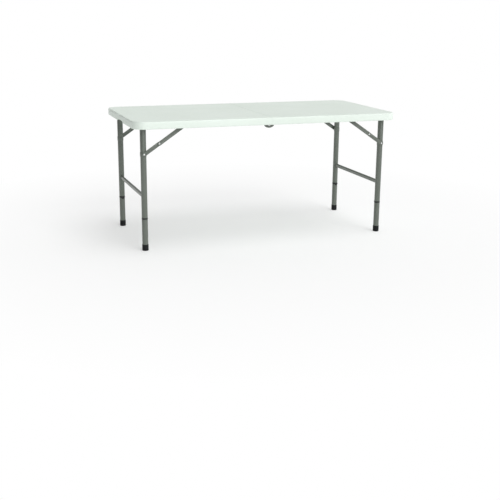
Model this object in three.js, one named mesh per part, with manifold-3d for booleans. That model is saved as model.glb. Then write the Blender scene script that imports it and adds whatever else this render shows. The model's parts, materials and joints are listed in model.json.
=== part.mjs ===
// A fold-in-half banquet table standing on its legs: two moulded half tops on a hinged
// steel frame, two leg frames held out by folding braces, pull-off extension legs, snap
// clips and a webbing carry strap.  Millimetres, +Z up, origin on the floor at the middle.
// The length runs along X, the front is towards -Y.
import * as THREE from 'three';
import { mergeVertices } from 'three/addons/utils/BufferGeometryUtils.js';
import Module from 'manifold-3d';

const wasm = await Module();
wasm.setup();

// ---------------------------------------------------------------- driving dimensions
const FIT = 0.3; // gap left between neighbouring pieces
const PAST = 1; // how far a cutter runs out of a body
const BITE = 0.1; // how deep a joined boss sits in its plate
const ROUND = 24; // sides of a round tube
const CURVE = 8; // segments of an outline's corner

const LENGTH = 1600; // whole top
const WIDTH = 768;
const HEIGHT = 740; // floor to top surface

const PLATE = 8; // thickness inside the rim
const RIM_WIDTH = 16;
const SEAM_RIB = 13.5; // width of the rib along the seam
const SEAM_RIB_CLEAR = 3.5; // hinge eyes to the rib above them
const SEAM_GAP = 0.6; // between the two halves
const CORNER_RADIUS = 65;
const TRAY_CORNER = 38; // inside corners, tighter to clear the rail ends
const EDGE_ROUND = 5; // rounding of the top edge, cut as two steps
const EDGE_STEP = 0.3; // share of the rounding in the first step
const RECESS_LENGTH = 165; // finger recess in each end rim
const RECESS_DEPTH = 11;
const CLOSED_GAP = 8; // between the rims when the table is shut
const FRAME_CLEAR = 0.6; // folded frame to the plate and to the other half

const RAIL_RADIUS = 12.5;
const RAIL_CLEAR = 3.5; // rail to the inside of the rim
const RAIL_OVERHANG = 22; // rail end beyond the leg pivot
const RAIL_SEAM_GAP = 16; // rail end to the fold line
const TUBE_WALL = 1.2;
const PIVOT_RADIUS = 14; // cross tube that the legs turn on
const CAP_HEAD = 3;
const CAP_PLUG = 10;
const CAP_EASE = 1.5;

const HUB_RADIUS = 18; // round eye of a hinge leaf
const LEAF_SKIRT = 32; // reach of its rounded lower edge
const LEAF_FOOT = 10; // eye to the straight part of the arm
const LEAF_EDGE = 2; // arm inside the rail's height
const SPACER = 15; // eye to the spacer behind the arm
const LEAF = 3;
const LEAF_LENGTH = 75; // leaf end to the fold line
const PIN_RADIUS = 4;
const PIN_HEAD_RADIUS = 7.5;
const PIN_HEAD = 2.5;
const PIN_SEAT = 25; // length of the pin inside the centre tube

const LEG_RADIUS = 17;
const LEG_SADDLE = 6; // leg top below the pivot axis
const CROSSBAR_Z = 312;
const CROSSBAR_HEIGHT = 24;
const CROSSBAR_WIDTH = 16;
const PARK_RADIUS = 4; // holes in its top where the extensions are parked
const PARK_NEAR = 80; // their distances from the middle
const PARK_FAR = 197;

const JOINT_Z = 183; // shoulder of the extension leg
const COLLAR_HEIGHT = 6.4;
const COLLAR_LIP = 0.8; // collar outside the leg
const TONGUE_WIDTH = 21; // thumb tongue of the lock, a V on the inner side
const TONGUE_TIP = 6;
const TONGUE_HEIGHT = 14;
const TONGUE = 3.4;
const BUSH_WALL = 1.3; // sleeve between the leg and the spigot
const BUSH_LENGTH = 30;
const BUSH_LIP = 1.2;
const SPIGOT_LENGTH = 162;
const FOOT_WALL = 1.4; // foot cap outside the leg
const FOOT_HEIGHT = 36.5;
const FOOT_FLOOR = 6; // rubber under the tube
const FOOT_EASE = 1.5;

const BRACE_DOWN = 160; // pivot axis down to the brace pivot on the leg
const BRACE_ALONG = 238; // pivot axis along the rail to the brace pivot
const LINK_WIDTH = 22.4;
const LINK = 2.5;
const LINK_GAP = 2.1; // washer space between the two links
const WASHER_RADIUS = 7;
const RIVET_RADIUS = 5;
const RIVET_HEAD = 1.5;
const BAND_HEIGHT = 24;
const BAND_WALL = 1.2;
const BOSS_RADIUS = 8;
const BOSS_RISE = 0.8; // boss outside the band
const RAIL_PAD = 3;
const RAIL_PAD_LENGTH = 36;
const RAIL_PAD_HEIGHT = 20;
const RAIL_BOSS = 1.2; // boss between the pad and the upper link

const CLIP_WIDTH = 22;
const CLIP_WALL = 3;
const CLIP_WEB = 0.6; // web height as a share of the ring
const CLIP_OFFSET = 150; // clip to the middle of the pivot tube
const CLIP_MOUTH = 7; // jaw centre to its mouth
const CLIP_CLEAR = 5; // mouth to the inside of the end rim

const STRAP_X = -380; // middle of the carry strap
const STRAP_SPAN = 128; // between its arms
const STRAP_WIDTH = 25;
const STRAP = 2.3;
const STRAP_DROP = 102; // rail axis to the bottom of the grip
const STRAP_CLEAR = 0.8; // rail to strap

// ---------------------------------------------------------------- derived places
const footRadius = LEG_RADIUS + FOOT_WALL;
const clipRadius = PIVOT_RADIUS + FIT + CLIP_WALL;
const strapRadius = RAIL_RADIUS + STRAP_CLEAR + STRAP;
const frameRoom = Math.max(footRadius, clipRadius, strapRadius) + FRAME_CLEAR;
const plateZ = HEIGHT - PLATE;
const frameZ = plateZ - frameRoom; // folded legs lie midway between the plate and the other half
const hingeZ = frameZ - frameRoom;
const rimZ = hingeZ + CLOSED_GAP / 2;
const railY = WIDTH / 2 - RIM_WIDTH - RAIL_CLEAR - RAIL_RADIUS;
const railInnerY = railY - RAIL_RADIUS;
const jawReach = 2 * frameRoom; // leg's pivot to the clip's jaw, which meets the other half's cross tube
const legX = LENGTH / 2 - RIM_WIDTH - CLIP_CLEAR - CLIP_MOUTH - jawReach;
const railEndX = legX + RAIL_OVERHANG;
const bushZ = JOINT_Z + FIT + COLLAR_HEIGHT + FIT;
const legBottomZ = bushZ + BUSH_LIP + FIT;
const legBore = LEG_RADIUS - TUBE_WALL;
const spigotRadius = legBore - FIT - BUSH_WALL - FIT;
const braceZ = frameZ - BRACE_DOWN;
const braceX = legX - BRACE_ALONG;
const leafOuterY = railInnerY - FIT - LEAF;
const leafInnerY = leafOuterY - FIT - LEAF;
const tubeHalf = leafInnerY - FIT;
const bandRadius = LEG_RADIUS + FIT + BAND_WALL;
const railPadY = railInnerY - FIT - RAIL_PAD;
const upperOuterY = railPadY - RAIL_BOSS - FIT; // the brace and the leg stack inwards from the rail
const upperLinkY = upperOuterY - LINK;
const lowerOuterY = upperLinkY - LINK_GAP;
const lowerLinkY = lowerOuterY - LINK;
const legY = lowerLinkY - FIT - BOSS_RISE - bandRadius;

// the open brace is straight; folded flat, its knee lies between the leg's pivot and the cross tube
const braceOpen = Math.hypot(BRACE_DOWN, BRACE_ALONG);
const braceShut = BRACE_ALONG - BRACE_DOWN;
const lowerLink = (braceOpen - braceShut) / 2;
const midX = legX - (lowerLink * BRACE_ALONG) / braceOpen;
const midZ = braceZ + (lowerLink * BRACE_DOWN) / braceOpen;

const SIDES = [['left', -1], ['right', 1]];
const ROWS = [['front', -1], ['back', 1]];

// ---------------------------------------------------------------- finishes
const finish = (color, roughness, metalness) =>
  new THREE.MeshStandardMaterial({ color, roughness, metalness });
const plastic = finish(0xdde6de, 0.55, 0);
const steel = finish(0x7d827a, 0.5, 0.6);
const bright = finish(0xc4c8c6, 0.3, 0.9);
const black = finish(0x17191a, 0.5, 0);
const rubber = finish(0x121314, 0.8, 0);
const webbing = finish(0x15181a, 0.9, 0);

// ---------------------------------------------------------------- shape helpers
const table = new THREE.Group();

function add(name, geometry, material) {
  const mesh = new THREE.Mesh(geometry, material);
  mesh.name = name;
  table.add(mesh);
}

// A ring of revolution from [radius, height] points, or a bar when they end on the axis.
function revolve(profile, axis = 'z', sides = ROUND) {
  const points = profile.map(([r, h]) => new THREE.Vector2(r, h));
  if (profile[0][0] > 0) points.push(points[0].clone());
  const shape = new THREE.LatheGeometry(points, sides);
  if (axis === 'x') shape.rotateZ(-Math.PI / 2);
  if (axis === 'z') shape.rotateX(Math.PI / 2);
  return shape;
}

const tube = (outer, inner, from, to, axis) =>
  revolve([[inner, from], [outer, from], [outer, to], [inner, to]], axis);

const bar = (radius, from, to, axis, sides) =>
  revolve([[0, from], [radius, from], [radius, to], [0, to]], axis, sides);

// An outline in X and Z, given thickness along Y from yLow upwards.
function plateXZ(shape, thickness, yLow) {
  const plate = new THREE.ExtrudeGeometry(shape, { depth: thickness, bevelEnabled: false, curveSegments: CURVE });
  return plate.rotateX(Math.PI / 2).translate(0, yLow + thickness, 0);
}

// A block between two corners.
function block([x0, y0, z0], [x1, y1, z1]) {
  const box = new THREE.BoxGeometry(Math.abs(x1 - x0), Math.abs(y1 - y0), Math.abs(z1 - z0));
  return box.translate((x0 + x1) / 2, (y0 + y1) / 2, (z0 + z1) / 2);
}

// A layer from y to y + thickness in the back row, mirrored for the front row.
const layer = (row, y, thickness) => (row > 0 ? y : -y - thickness);

function toSolid(geometry) {
  const bare = geometry.clone();
  bare.deleteAttribute('normal');
  bare.deleteAttribute('uv');
  const merged = mergeVertices(bare, 1e-4);
  return new wasm.Manifold(
    new wasm.Mesh({
      numProp: 3,
      vertProperties: new Float32Array(merged.attributes.position.array),
      triVerts: new Uint32Array(merged.index.array),
    }),
  );
}

function toGeometry(solid) {
  const { vertProperties, triVerts } = solid.getMesh();
  const geometry = new THREE.BufferGeometry();
  geometry.setAttribute('position', new THREE.BufferAttribute(vertProperties, 3));
  geometry.setIndex(new THREE.BufferAttribute(triVerts, 1));
  return geometry;
}

function join(...geometries) {
  return toGeometry(geometries.map(toSolid).reduce((all, next) => all.add(next)));
}

function cut(body, ...tools) {
  return toGeometry(tools.map(toSolid).reduce((left, tool) => left.subtract(tool), toSolid(body)));
}

// ---------------------------------------------------------------- half tops
// Outline of one half shrunk by inset: seam edge square, outer corners of radius r.
function halfOutline(side, inset, seamX, r) {
  const endX = LENGTH / 2 - inset;
  const edgeY = WIDTH / 2 - inset;
  const shape = new THREE.Shape();
  shape.moveTo(side * seamX, -edgeY);
  shape.lineTo(side * (endX - r), -edgeY);
  shape.absarc(side * (endX - r), -edgeY + r, r, -Math.PI / 2, side > 0 ? 0 : -Math.PI, side < 0);
  shape.lineTo(side * endX, edgeY - r);
  shape.absarc(side * (endX - r), edgeY - r, r, side > 0 ? 0 : Math.PI, Math.PI / 2, side < 0);
  shape.lineTo(side * seamX, edgeY);
  shape.closePath();
  return shape;
}

function halfSlab(side, inset, seamX, zLow, zHigh, r = CORNER_RADIUS - inset) {
  const flat = { depth: zHigh - zLow, bevelEnabled: false, curveSegments: CURVE };
  return new THREE.ExtrudeGeometry(halfOutline(side, inset, seamX, r), flat).translate(0, 0, zLow);
}

function halfTop(side) {
  const seamX = SEAM_GAP / 2;
  const ribX = seamX + SEAM_RIB;
  const ribZ = hingeZ + HUB_RADIUS + SEAM_RIB_CLEAR;
  const endX = side * (LENGTH / 2);
  const low = rimZ - PAST;
  const tray = halfSlab(side, RIM_WIDTH, ribX, low, plateZ, TRAY_CORNER);
  const trayY = WIDTH / 2 - RIM_WIDTH;
  const underRib = block([side * (seamX - PAST), -trayY, low], [side * (ribX + PAST), trayY, ribZ]);
  const recess = block(
    [endX - side * (RIM_WIDTH + PAST), -RECESS_LENGTH / 2, low],
    [endX + side * PAST, RECESS_LENGTH / 2, rimZ + RECESS_DEPTH],
  );
  const step = EDGE_ROUND * EDGE_STEP;
  const slab = join(
    halfSlab(side, 0, seamX, rimZ, HEIGHT - EDGE_ROUND),
    halfSlab(side, step, seamX, rimZ + PAST, HEIGHT - step),
    halfSlab(side, EDGE_ROUND, seamX, rimZ + PAST, HEIGHT),
  );
  return cut(slab, tray, underRib, recess);
}

// ---------------------------------------------------------------- rails and hinge
const railTube = (side, row) =>
  tube(RAIL_RADIUS, RAIL_RADIUS - TUBE_WALL, RAIL_SEAM_GAP, railEndX, 'x')
    .rotateZ(side > 0 ? 0 : Math.PI)
    .translate(0, row * railY, frameZ);

function railCap(side, row) {
  const plugRadius = RAIL_RADIUS - TUBE_WALL - FIT;
  const faceX = railEndX + FIT;
  const outX = faceX + CAP_HEAD;
  return revolve(
    [[0, faceX - CAP_PLUG], [plugRadius, faceX - CAP_PLUG], [plugRadius, faceX], [RAIL_RADIUS, faceX],
      [RAIL_RADIUS, outX - CAP_EASE], [RAIL_RADIUS - CAP_EASE, outX], [0, outX]],
    'x',
  )
    .rotateZ(side > 0 ? 0 : Math.PI)
    .translate(0, row * railY, frameZ);
}

function centreTube() {
  const bore = RAIL_RADIUS - TUBE_WALL;
  const seat = PIN_RADIUS + FIT;
  const inner = tubeHalf - PIN_SEAT;
  return revolve(
    [[seat, -tubeHalf], [RAIL_RADIUS, -tubeHalf], [RAIL_RADIUS, tubeHalf], [seat, tubeHalf],
      [seat, inner], [bore, inner], [bore, -inner], [seat, -inner]],
    'y',
  ).translate(0, 0, hingeZ);
}

function hingePin(row) {
  const headY = railInnerY;
  return revolve(
    [[0, tubeHalf - PIN_SEAT + FIT], [PIN_RADIUS, tubeHalf - PIN_SEAT + FIT], [PIN_RADIUS, headY],
      [PIN_HEAD_RADIUS, headY], [PIN_HEAD_RADIUS, headY + PIN_HEAD], [0, headY + PIN_HEAD]],
    'y',
  )
    .rotateX(row > 0 ? 0 : Math.PI)
    .translate(0, 0, hingeZ);
}

// One leaf: an arm along the rail, a round eye on the fold line and a curved lower edge between.
function hingeLeaf(side, row) {
  const low = rimZ + PAST;
  const high = frameZ + RAIL_RADIUS - LEAF_EDGE;
  const cheek = HUB_RADIUS * Math.SQRT1_2;
  const drop = low - (hingeZ - HUB_RADIUS);
  const arm = new THREE.Shape();
  arm.moveTo(0, hingeZ);
  arm.lineTo(side * cheek, hingeZ + cheek);
  arm.lineTo(side * (HUB_RADIUS + LEAF_FOOT), high);
  arm.lineTo(side * LEAF_LENGTH, high);
  arm.lineTo(side * LEAF_LENGTH, low);
  for (let i = CURVE; i >= 0; i--) {
    const turn = (Math.PI / 2) * (i / CURVE);
    arm.lineTo(side * LEAF_SKIRT * Math.sin(turn), low - drop * Math.cos(turn));
  }
  arm.closePath();
  const inner = side < 0 ? leafInnerY : leafOuterY;
  const y = layer(row, inner, LEAF);
  const eye = bar(HUB_RADIUS, y, y + LEAF, 'y', 2 * ROUND).translate(0, 0, hingeZ);
  const hole = bar(PIN_RADIUS + FIT, y - PAST, y + LEAF + PAST, 'y').translate(0, 0, hingeZ);
  const spacer = block(
    [side * (HUB_RADIUS + SPACER), row * inner, low],
    [side * LEAF_LENGTH, row * (railInnerY - FIT), high],
  );
  return cut(join(plateXZ(arm, LEAF, y), eye, spacer), hole);
}

// ---------------------------------------------------------------- leg frames
const pivotTube = (side) =>
  tube(PIVOT_RADIUS, PIVOT_RADIUS - TUBE_WALL, -(railInnerY - FIT), railInnerY - FIT, 'y')
    .translate(side * legX, 0, frameZ);

function legTube(side, row) {
  const straight = tube(LEG_RADIUS, LEG_RADIUS - TUBE_WALL, legBottomZ, frameZ - LEG_SADDLE, 'z')
    .translate(side * legX, row * legY, 0);
  const saddle = bar(PIVOT_RADIUS + FIT, -WIDTH, WIDTH, 'y').translate(side * legX, 0, frameZ);
  return cut(straight, saddle);
}

// Flat-sided oval bar between the legs, coped to them, with two parking holes in its top.
function crossbar(side) {
  const half = CROSSBAR_HEIGHT / 2;
  const r = CROSSBAR_WIDTH / 2;
  const oval = (shrink) => {
    const path = new THREE.Shape();
    path.absarc(0, half - r, r - shrink, 0, Math.PI);
    path.absarc(0, r - half, r - shrink, Math.PI, 2 * Math.PI);
    path.closePath();
    return path;
  };
  const section = oval(0);
  section.holes.push(oval(TUBE_WALL));
  const hollow = plateXZ(section, 2 * legY, -legY).translate(side * legX, 0, CROSSBAR_Z);
  const coping = ROWS.map(([, row]) =>
    bar(LEG_RADIUS + FIT, 0, HEIGHT, 'z').translate(side * legX, row * legY, 0));
  const holes = [side * PARK_NEAR, -side * PARK_FAR].map((y) =>
    bar(PARK_RADIUS, 0, CROSSBAR_HEIGHT, 'z').translate(side * legX, y, CROSSBAR_Z));
  return cut(hollow, ...coping, ...holes);
}

// Sleeve inside the leg's lower end, with a lip that the collar meets.
const legBush = (side, row) =>
  revolve([[spigotRadius + FIT, bushZ], [LEG_RADIUS, bushZ], [LEG_RADIUS, bushZ + BUSH_LIP],
    [legBore - FIT, bushZ + BUSH_LIP], [legBore - FIT, bushZ + BUSH_LENGTH],
    [spigotRadius + FIT, bushZ + BUSH_LENGTH]])
    .translate(side * legX, row * legY, 0);

// ---------------------------------------------------------------- extension legs
const extensionLeg = (side, row) =>
  revolve([[spigotRadius - TUBE_WALL, FOOT_FLOOR + FIT], [LEG_RADIUS, FOOT_FLOOR + FIT],
    [LEG_RADIUS, JOINT_Z], [spigotRadius, JOINT_Z], [spigotRadius, JOINT_Z + SPIGOT_LENGTH],
    [spigotRadius - TUBE_WALL, JOINT_Z + SPIGOT_LENGTH]])
    .translate(side * legX, row * legY, 0);

const footCap = (side, row) =>
  revolve([[0, 0], [footRadius - FOOT_EASE, 0], [footRadius, FOOT_EASE], [footRadius, FOOT_HEIGHT - FOOT_EASE],
    [LEG_RADIUS + 2 * FIT, FOOT_HEIGHT], [LEG_RADIUS + FIT, FOOT_HEIGHT], [LEG_RADIUS + FIT, FOOT_FLOOR],
    [0, FOOT_FLOOR]])
    .translate(side * legX, row * legY, 0);

// Ring round the spigot with the lock's V-shaped thumb tongue on the inner side.
function lockCollar(side, row) {
  const low = JOINT_Z + FIT;
  const top = low + COLLAR_HEIGHT;
  const ring = tube(LEG_RADIUS + COLLAR_LIP, spigotRadius + FIT, low, top, 'z').translate(0, row * legY, 0);
  const face = new THREE.Shape();
  face.moveTo(-TONGUE_WIDTH / 2, top);
  face.lineTo(-TONGUE_WIDTH / 2, low);
  face.lineTo(-TONGUE_TIP / 2, top - TONGUE_HEIGHT);
  face.lineTo(TONGUE_TIP / 2, top - TONGUE_HEIGHT);
  face.lineTo(TONGUE_WIDTH / 2, low);
  face.lineTo(TONGUE_WIDTH / 2, top);
  face.closePath();
  const flank = LEG_RADIUS + 2 * FIT;
  const tongue = plateXZ(face, TONGUE, layer(row, legY - flank - TONGUE, TONGUE));
  const ringMiddle = (LEG_RADIUS + spigotRadius) / 2;
  const bridge = block(
    [-TONGUE_TIP, row * (legY - ringMiddle), low],
    [TONGUE_TIP, row * (legY - flank - TONGUE / 2), top],
  );
  return join(ring, tongue, bridge).translate(side * legX, 0, 0);
}

// ---------------------------------------------------------------- braces
// A flat link with round ends between two pivots.
function link(side, x0, z0, x1, z1, row, y) {
  const r = LINK_WIDTH / 2;
  const angle = Math.atan2(z1 - z0, side * (x1 - x0));
  const shape = new THREE.Shape();
  shape.absarc(side * x0, z0, r, angle + Math.PI / 2, angle + (3 * Math.PI) / 2);
  shape.absarc(side * x1, z1, r, angle - Math.PI / 2, angle + Math.PI / 2);
  shape.closePath();
  return plateXZ(shape, LINK, layer(row, y, LINK));
}

const rivet = (side, x, z, row, y) =>
  bar(RIVET_RADIUS, layer(row, y, RIVET_HEAD), layer(row, y, RIVET_HEAD) + RIVET_HEAD, 'y', 16)
    .translate(side * x, 0, z);

function legBracket(side, row) {
  const inner = LEG_RADIUS + FIT;
  const band = tube(bandRadius, inner, braceZ - BAND_HEIGHT / 2, braceZ + BAND_HEIGHT / 2, 'z')
    .translate(side * legX, row * legY, 0);
  const depth = BAND_WALL / 2 + BOSS_RISE;
  const from = layer(row, lowerLinkY - FIT - depth, depth);
  const boss = bar(BOSS_RADIUS, from, from + depth, 'y').translate(side * legX, 0, braceZ);
  return cut(join(band, boss), bar(inner, 0, HEIGHT, 'z').translate(side * legX, row * legY, 0));
}

const lowerBrace = (side, row) =>
  join(link(side, legX, braceZ, midX, midZ, row, lowerLinkY), rivet(side, legX, braceZ, row, lowerOuterY - BITE));

function upperBrace(side, row) {
  const height = LINK_GAP - FIT + BITE;
  const from = layer(row, lowerOuterY + FIT, height);
  const washer = bar(WASHER_RADIUS, from, from + height, 'y').translate(side * midX, 0, midZ);
  const head = rivet(side, midX, midZ, row, upperOuterY - BITE);
  return join(link(side, midX, midZ, braceX, frameZ, row, upperLinkY), washer, head);
}

function railBracket(side, row) {
  const half = RAIL_PAD_LENGTH / 2;
  const rise = RAIL_PAD_HEIGHT / 2;
  const pad = block(
    [side * braceX - half, row * railPadY, frameZ - rise],
    [side * braceX + half, row * (railPadY + RAIL_PAD), frameZ + rise],
  );
  const depth = RAIL_BOSS + BITE;
  const from = layer(row, upperOuterY + FIT, depth);
  const boss = bar(BOSS_RADIUS, from, from + depth, 'y').translate(side * braceX, 0, frameZ);
  return join(pad, boss);
}

// ---------------------------------------------------------------- latch clips
// A ring on the right pivot tube and an open jaw that snaps over the left one when shut.
function latchClip(row) {
  const inner = PIVOT_RADIUS + FIT;
  const outer = clipRadius;
  const jawX = legX + jawReach;
  const y = row * CLIP_OFFSET - CLIP_WIDTH / 2;
  const disc = (r, x, grow) => bar(r, y - grow, y + CLIP_WIDTH + grow, 'y').translate(x, 0, frameZ);
  const rise = outer * CLIP_WEB;
  const web = block([legX, y, frameZ - rise], [jawX, y + CLIP_WIDTH, frameZ + rise]);
  const mouth = block(
    [jawX + CLIP_MOUTH, y - PAST, frameZ - outer],
    [jawX + 2 * outer, y + CLIP_WIDTH + PAST, frameZ + outer],
  );
  const blank = join(disc(outer, legX, 0), disc(outer, jawX, 0), web);
  return cut(blank, disc(inner, legX, PAST), disc(inner, jawX, PAST), mouth);
}

// ---------------------------------------------------------------- carry strap
// Two loops round the back rail of the left half, their arms and the grip between them.
function carryStrap() {
  const inner = RAIL_RADIUS + STRAP_CLEAR;
  const outer = inner + STRAP;
  const half = STRAP_SPAN / 2;
  const loops = [-half, half].map((dx) =>
    tube(outer, inner, STRAP_X + dx - STRAP_WIDTH / 2, STRAP_X + dx + STRAP_WIDTH / 2, 'x')
      .translate(0, railY, frameZ));
  const bottom = frameZ - STRAP_DROP;
  const arms = [-half, half].map((dx) => {
    const x = STRAP_X + dx;
    return block([x - STRAP_WIDTH / 2, railY - outer, bottom], [x + STRAP_WIDTH / 2, railY - inner, frameZ]);
  });
  const gripY = railY - inner - STRAP / 2;
  const grip = block(
    [STRAP_X - half, gripY - STRAP_WIDTH / 2, bottom],
    [STRAP_X + half, gripY + STRAP_WIDTH / 2, bottom + STRAP],
  );
  return join(...loops, ...arms, grip);
}

// ---------------------------------------------------------------- assembly
add('centre_tube', centreTube(), steel);
for (const [rowName, row] of ROWS) {
  add(`hinge_pin_${rowName}`, hingePin(row), bright);
  add(`latch_clip_${rowName}`, latchClip(row), black);
}
for (const [sideName, side] of SIDES) {
  add(`tabletop_${sideName}`, halfTop(side), plastic);
  add(`pivot_tube_${sideName}`, pivotTube(side), steel);
  add(`crossbar_${sideName}`, crossbar(side), steel);
  for (const [rowName, row] of ROWS) {
    const place = `${rowName}_${sideName}`;
    add(`rail_${place}`, railTube(side, row), steel);
    add(`rail_cap_${place}`, railCap(side, row), black);
    add(`hinge_leaf_${place}`, hingeLeaf(side, row), steel);
    add(`leg_${place}`, legTube(side, row), steel);
    add(`leg_bush_${place}`, legBush(side, row), black);
    add(`extension_leg_${place}`, extensionLeg(side, row), steel);
    add(`lock_collar_${place}`, lockCollar(side, row), black);
    add(`foot_cap_${place}`, footCap(side, row), rubber);
    add(`leg_bracket_${place}`, legBracket(side, row), steel);
    add(`brace_lower_${place}`, lowerBrace(side, row), steel);
    add(`brace_upper_${place}`, upperBrace(side, row), steel);
    add(`rail_bracket_${place}`, railBracket(side, row), steel);
  }
}
add('carry_strap', carryStrap(), webbing);

export default table;
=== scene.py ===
# %% [markdown]
# # A fold-in-half table
# The table opens out on two leg frames and shuts like a case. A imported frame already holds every
# part at its true size and place, with the joints it moves on. This notebook gives the parts their
# looks: it draws each one again with eased edges and fine detail where the plain solid is too
# coarse, and makes every finish from nodes. Places and sizes are read from the frame. Only small
# details, such as screws, welds and stitches, have sizes of their own.

import json
import random
from math import atan2, cos, pi, radians, sin, sqrt, tau

import bmesh
import bpy
from mathutils import Matrix, Vector


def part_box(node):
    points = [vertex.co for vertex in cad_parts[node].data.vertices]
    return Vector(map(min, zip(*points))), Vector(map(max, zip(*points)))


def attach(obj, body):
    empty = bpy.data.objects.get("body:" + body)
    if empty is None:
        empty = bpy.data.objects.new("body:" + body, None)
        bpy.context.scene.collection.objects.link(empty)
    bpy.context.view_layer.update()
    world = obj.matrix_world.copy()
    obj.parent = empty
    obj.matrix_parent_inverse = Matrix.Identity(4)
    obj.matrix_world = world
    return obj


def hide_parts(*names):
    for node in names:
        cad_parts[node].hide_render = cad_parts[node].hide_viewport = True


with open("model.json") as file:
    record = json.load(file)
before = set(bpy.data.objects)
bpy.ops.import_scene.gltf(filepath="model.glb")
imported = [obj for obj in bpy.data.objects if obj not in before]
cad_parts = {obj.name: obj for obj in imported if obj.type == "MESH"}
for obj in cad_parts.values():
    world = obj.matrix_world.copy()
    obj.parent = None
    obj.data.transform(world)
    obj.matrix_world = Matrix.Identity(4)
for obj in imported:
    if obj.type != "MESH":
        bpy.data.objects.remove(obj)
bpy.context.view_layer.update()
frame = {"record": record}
bodies = frame["record"]["behaviour"]["bodies"]
body_of = {node: body for body, nodes in bodies.items() for node in nodes}
random.seed(7)

# %% [markdown]
# ## The camera
# The camera comes first, so that every later step can be judged in its view. It stands in front
# and a little to the left, just above the height of someone's eyes when they sit. A long lens keeps
# the four legs nearly upright. A camera object looks along its own -Z, so the tilt starts at 90
# degrees, and the three turns are multiplied in the order heading, tilt, roll.

# %% Camera
CAMERA_PLACE = (-1.840, -5.124, 1.373)
CAMERA_HEADING = 19.87
CAMERA_TILT = -15.56
CAMERA_ROLL = 0.52
CAMERA_LENS = 64.2

lens = bpy.data.cameras.new("studio_camera")
lens.lens = CAMERA_LENS
lens.sensor_width = 36
camera = bpy.data.objects.new("studio_camera", lens)
turn = Matrix.Rotation(radians(-CAMERA_HEADING), 4, "Z")
turn = turn @ Matrix.Rotation(radians(90 + CAMERA_TILT), 4, "X")
turn = turn @ Matrix.Rotation(radians(CAMERA_ROLL), 4, "Z")
camera.matrix_world = Matrix.Translation(CAMERA_PLACE) @ turn
bpy.context.collection.objects.link(camera)
bpy.context.scene.camera = camera
print("lens", lens.lens, "mm")

# %% [markdown]
# ## Node helpers
# Every finish here is procedural, which means that Blender works it out from mathematics and not
# from a picture. The helpers below add one node at a time. Object coordinates are in metres on
# these parts, so a noise scale of 800 gives grains a little over a millimetre apart.

# %% Node helpers
def new_material(slot):
    material = bpy.data.materials.new(slot + "_finish")
    material["slot"] = slot
    material.use_nodes = True
    shader = material.node_tree.nodes["Principled BSDF"]
    return material, material.node_tree, shader


def add_node(tree, kind, links=(), **settings):
    """Adds a node, sets its properties, and joins or fills the sockets named in links."""
    node = tree.nodes.new("ShaderNode" + kind)
    for key, value in settings.items():
        setattr(node, key, value)
    for socket, value in dict(links).items():
        if hasattr(value, "is_output"):
            tree.links.new(value, node.inputs[socket])
        else:
            node.inputs[socket].default_value = value
    return node


def object_coords(tree):
    return add_node(tree, "TexCoord").outputs["Object"]


def noise(tree, scale, detail=3.0, rough=0.5, where=None):
    where = where or object_coords(tree)
    links = {"Vector": where, "Scale": scale, "Detail": detail, "Roughness": rough}
    return add_node(tree, "TexNoise", links).outputs["Fac"]


def ramp(tree, value, low, high, start, end):
    """Maps a value from low..high to start..end."""
    links = {"Value": value, "From Min": low, "From Max": high, "To Min": start, "To Max": end}
    return add_node(tree, "MapRange", links).outputs["Result"]


def blend_colours(tree, factor, first, second):
    node = add_node(tree, "Mix", data_type="RGBA")
    tree.links.new(factor, node.inputs["Factor"])
    node.inputs["A"].default_value = (*first, 1)
    node.inputs["B"].default_value = (*second, 1)
    return node.outputs["Result"]


def bump(tree, shader, height, strength, depth):
    links = {"Height": height, "Strength": strength, "Distance": depth}
    before = shader.inputs["Normal"].links
    if before:
        links["Normal"] = before[0].from_socket
    result = add_node(tree, "Bump", links)
    tree.links.new(result.outputs["Normal"], shader.inputs["Normal"])


print("node helpers ready")

# %% [markdown]
# ## Moulded top plastic
# The top is blow-moulded polyethylene: off-white with a faint green-grey cast, a fine pebble grain
# that hides scratches, and a soft sheen. The grain is a fine noise turned into bump. A second,
# much larger noise bends the light a little, as a thin moulded wall does between its ribs, and
# shifts the tint by a trace so that large areas don't look like flat paint.

# %% Moulded top plastic
def moulded_top_finish():
    material, tree, shader = new_material("moulded_top")
    tint = ramp(tree, noise(tree, 2.5, 2.0), 0.35, 0.65, 0.0, 1.0)
    colour = blend_colours(tree, tint, (0.722, 0.800, 0.733), (0.752, 0.828, 0.766))
    tree.links.new(colour, shader.inputs["Base Color"])
    scuff = ramp(tree, noise(tree, 35.0, 6.0, 0.65), 0.4, 0.7, 0.42, 0.56)
    tree.links.new(scuff, shader.inputs["Roughness"])
    shader.inputs["Specular IOR Level"].default_value = 0.4
    bump(tree, shader, noise(tree, 6.0, 1.0), 0.10, 0.010)
    bump(tree, shader, noise(tree, 750.0, 2.0, 0.6), 0.30, 0.0006)
    return material


MOULDED_TOP = moulded_top_finish()
print(MOULDED_TOP.name)

# %% [markdown]
# ## Hammer-tone frame paint
# The steel tubes carry a grey powder coat with a hammered look: small rounded cells with darker
# valleys. A Voronoi texture gives the distance to the nearest cell centre, which is the shape of
# such a cell. It drives a shallow bump, and more faintly the colour and the gloss. The coat is
# paint over metal, so it is only partly metallic.

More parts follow.
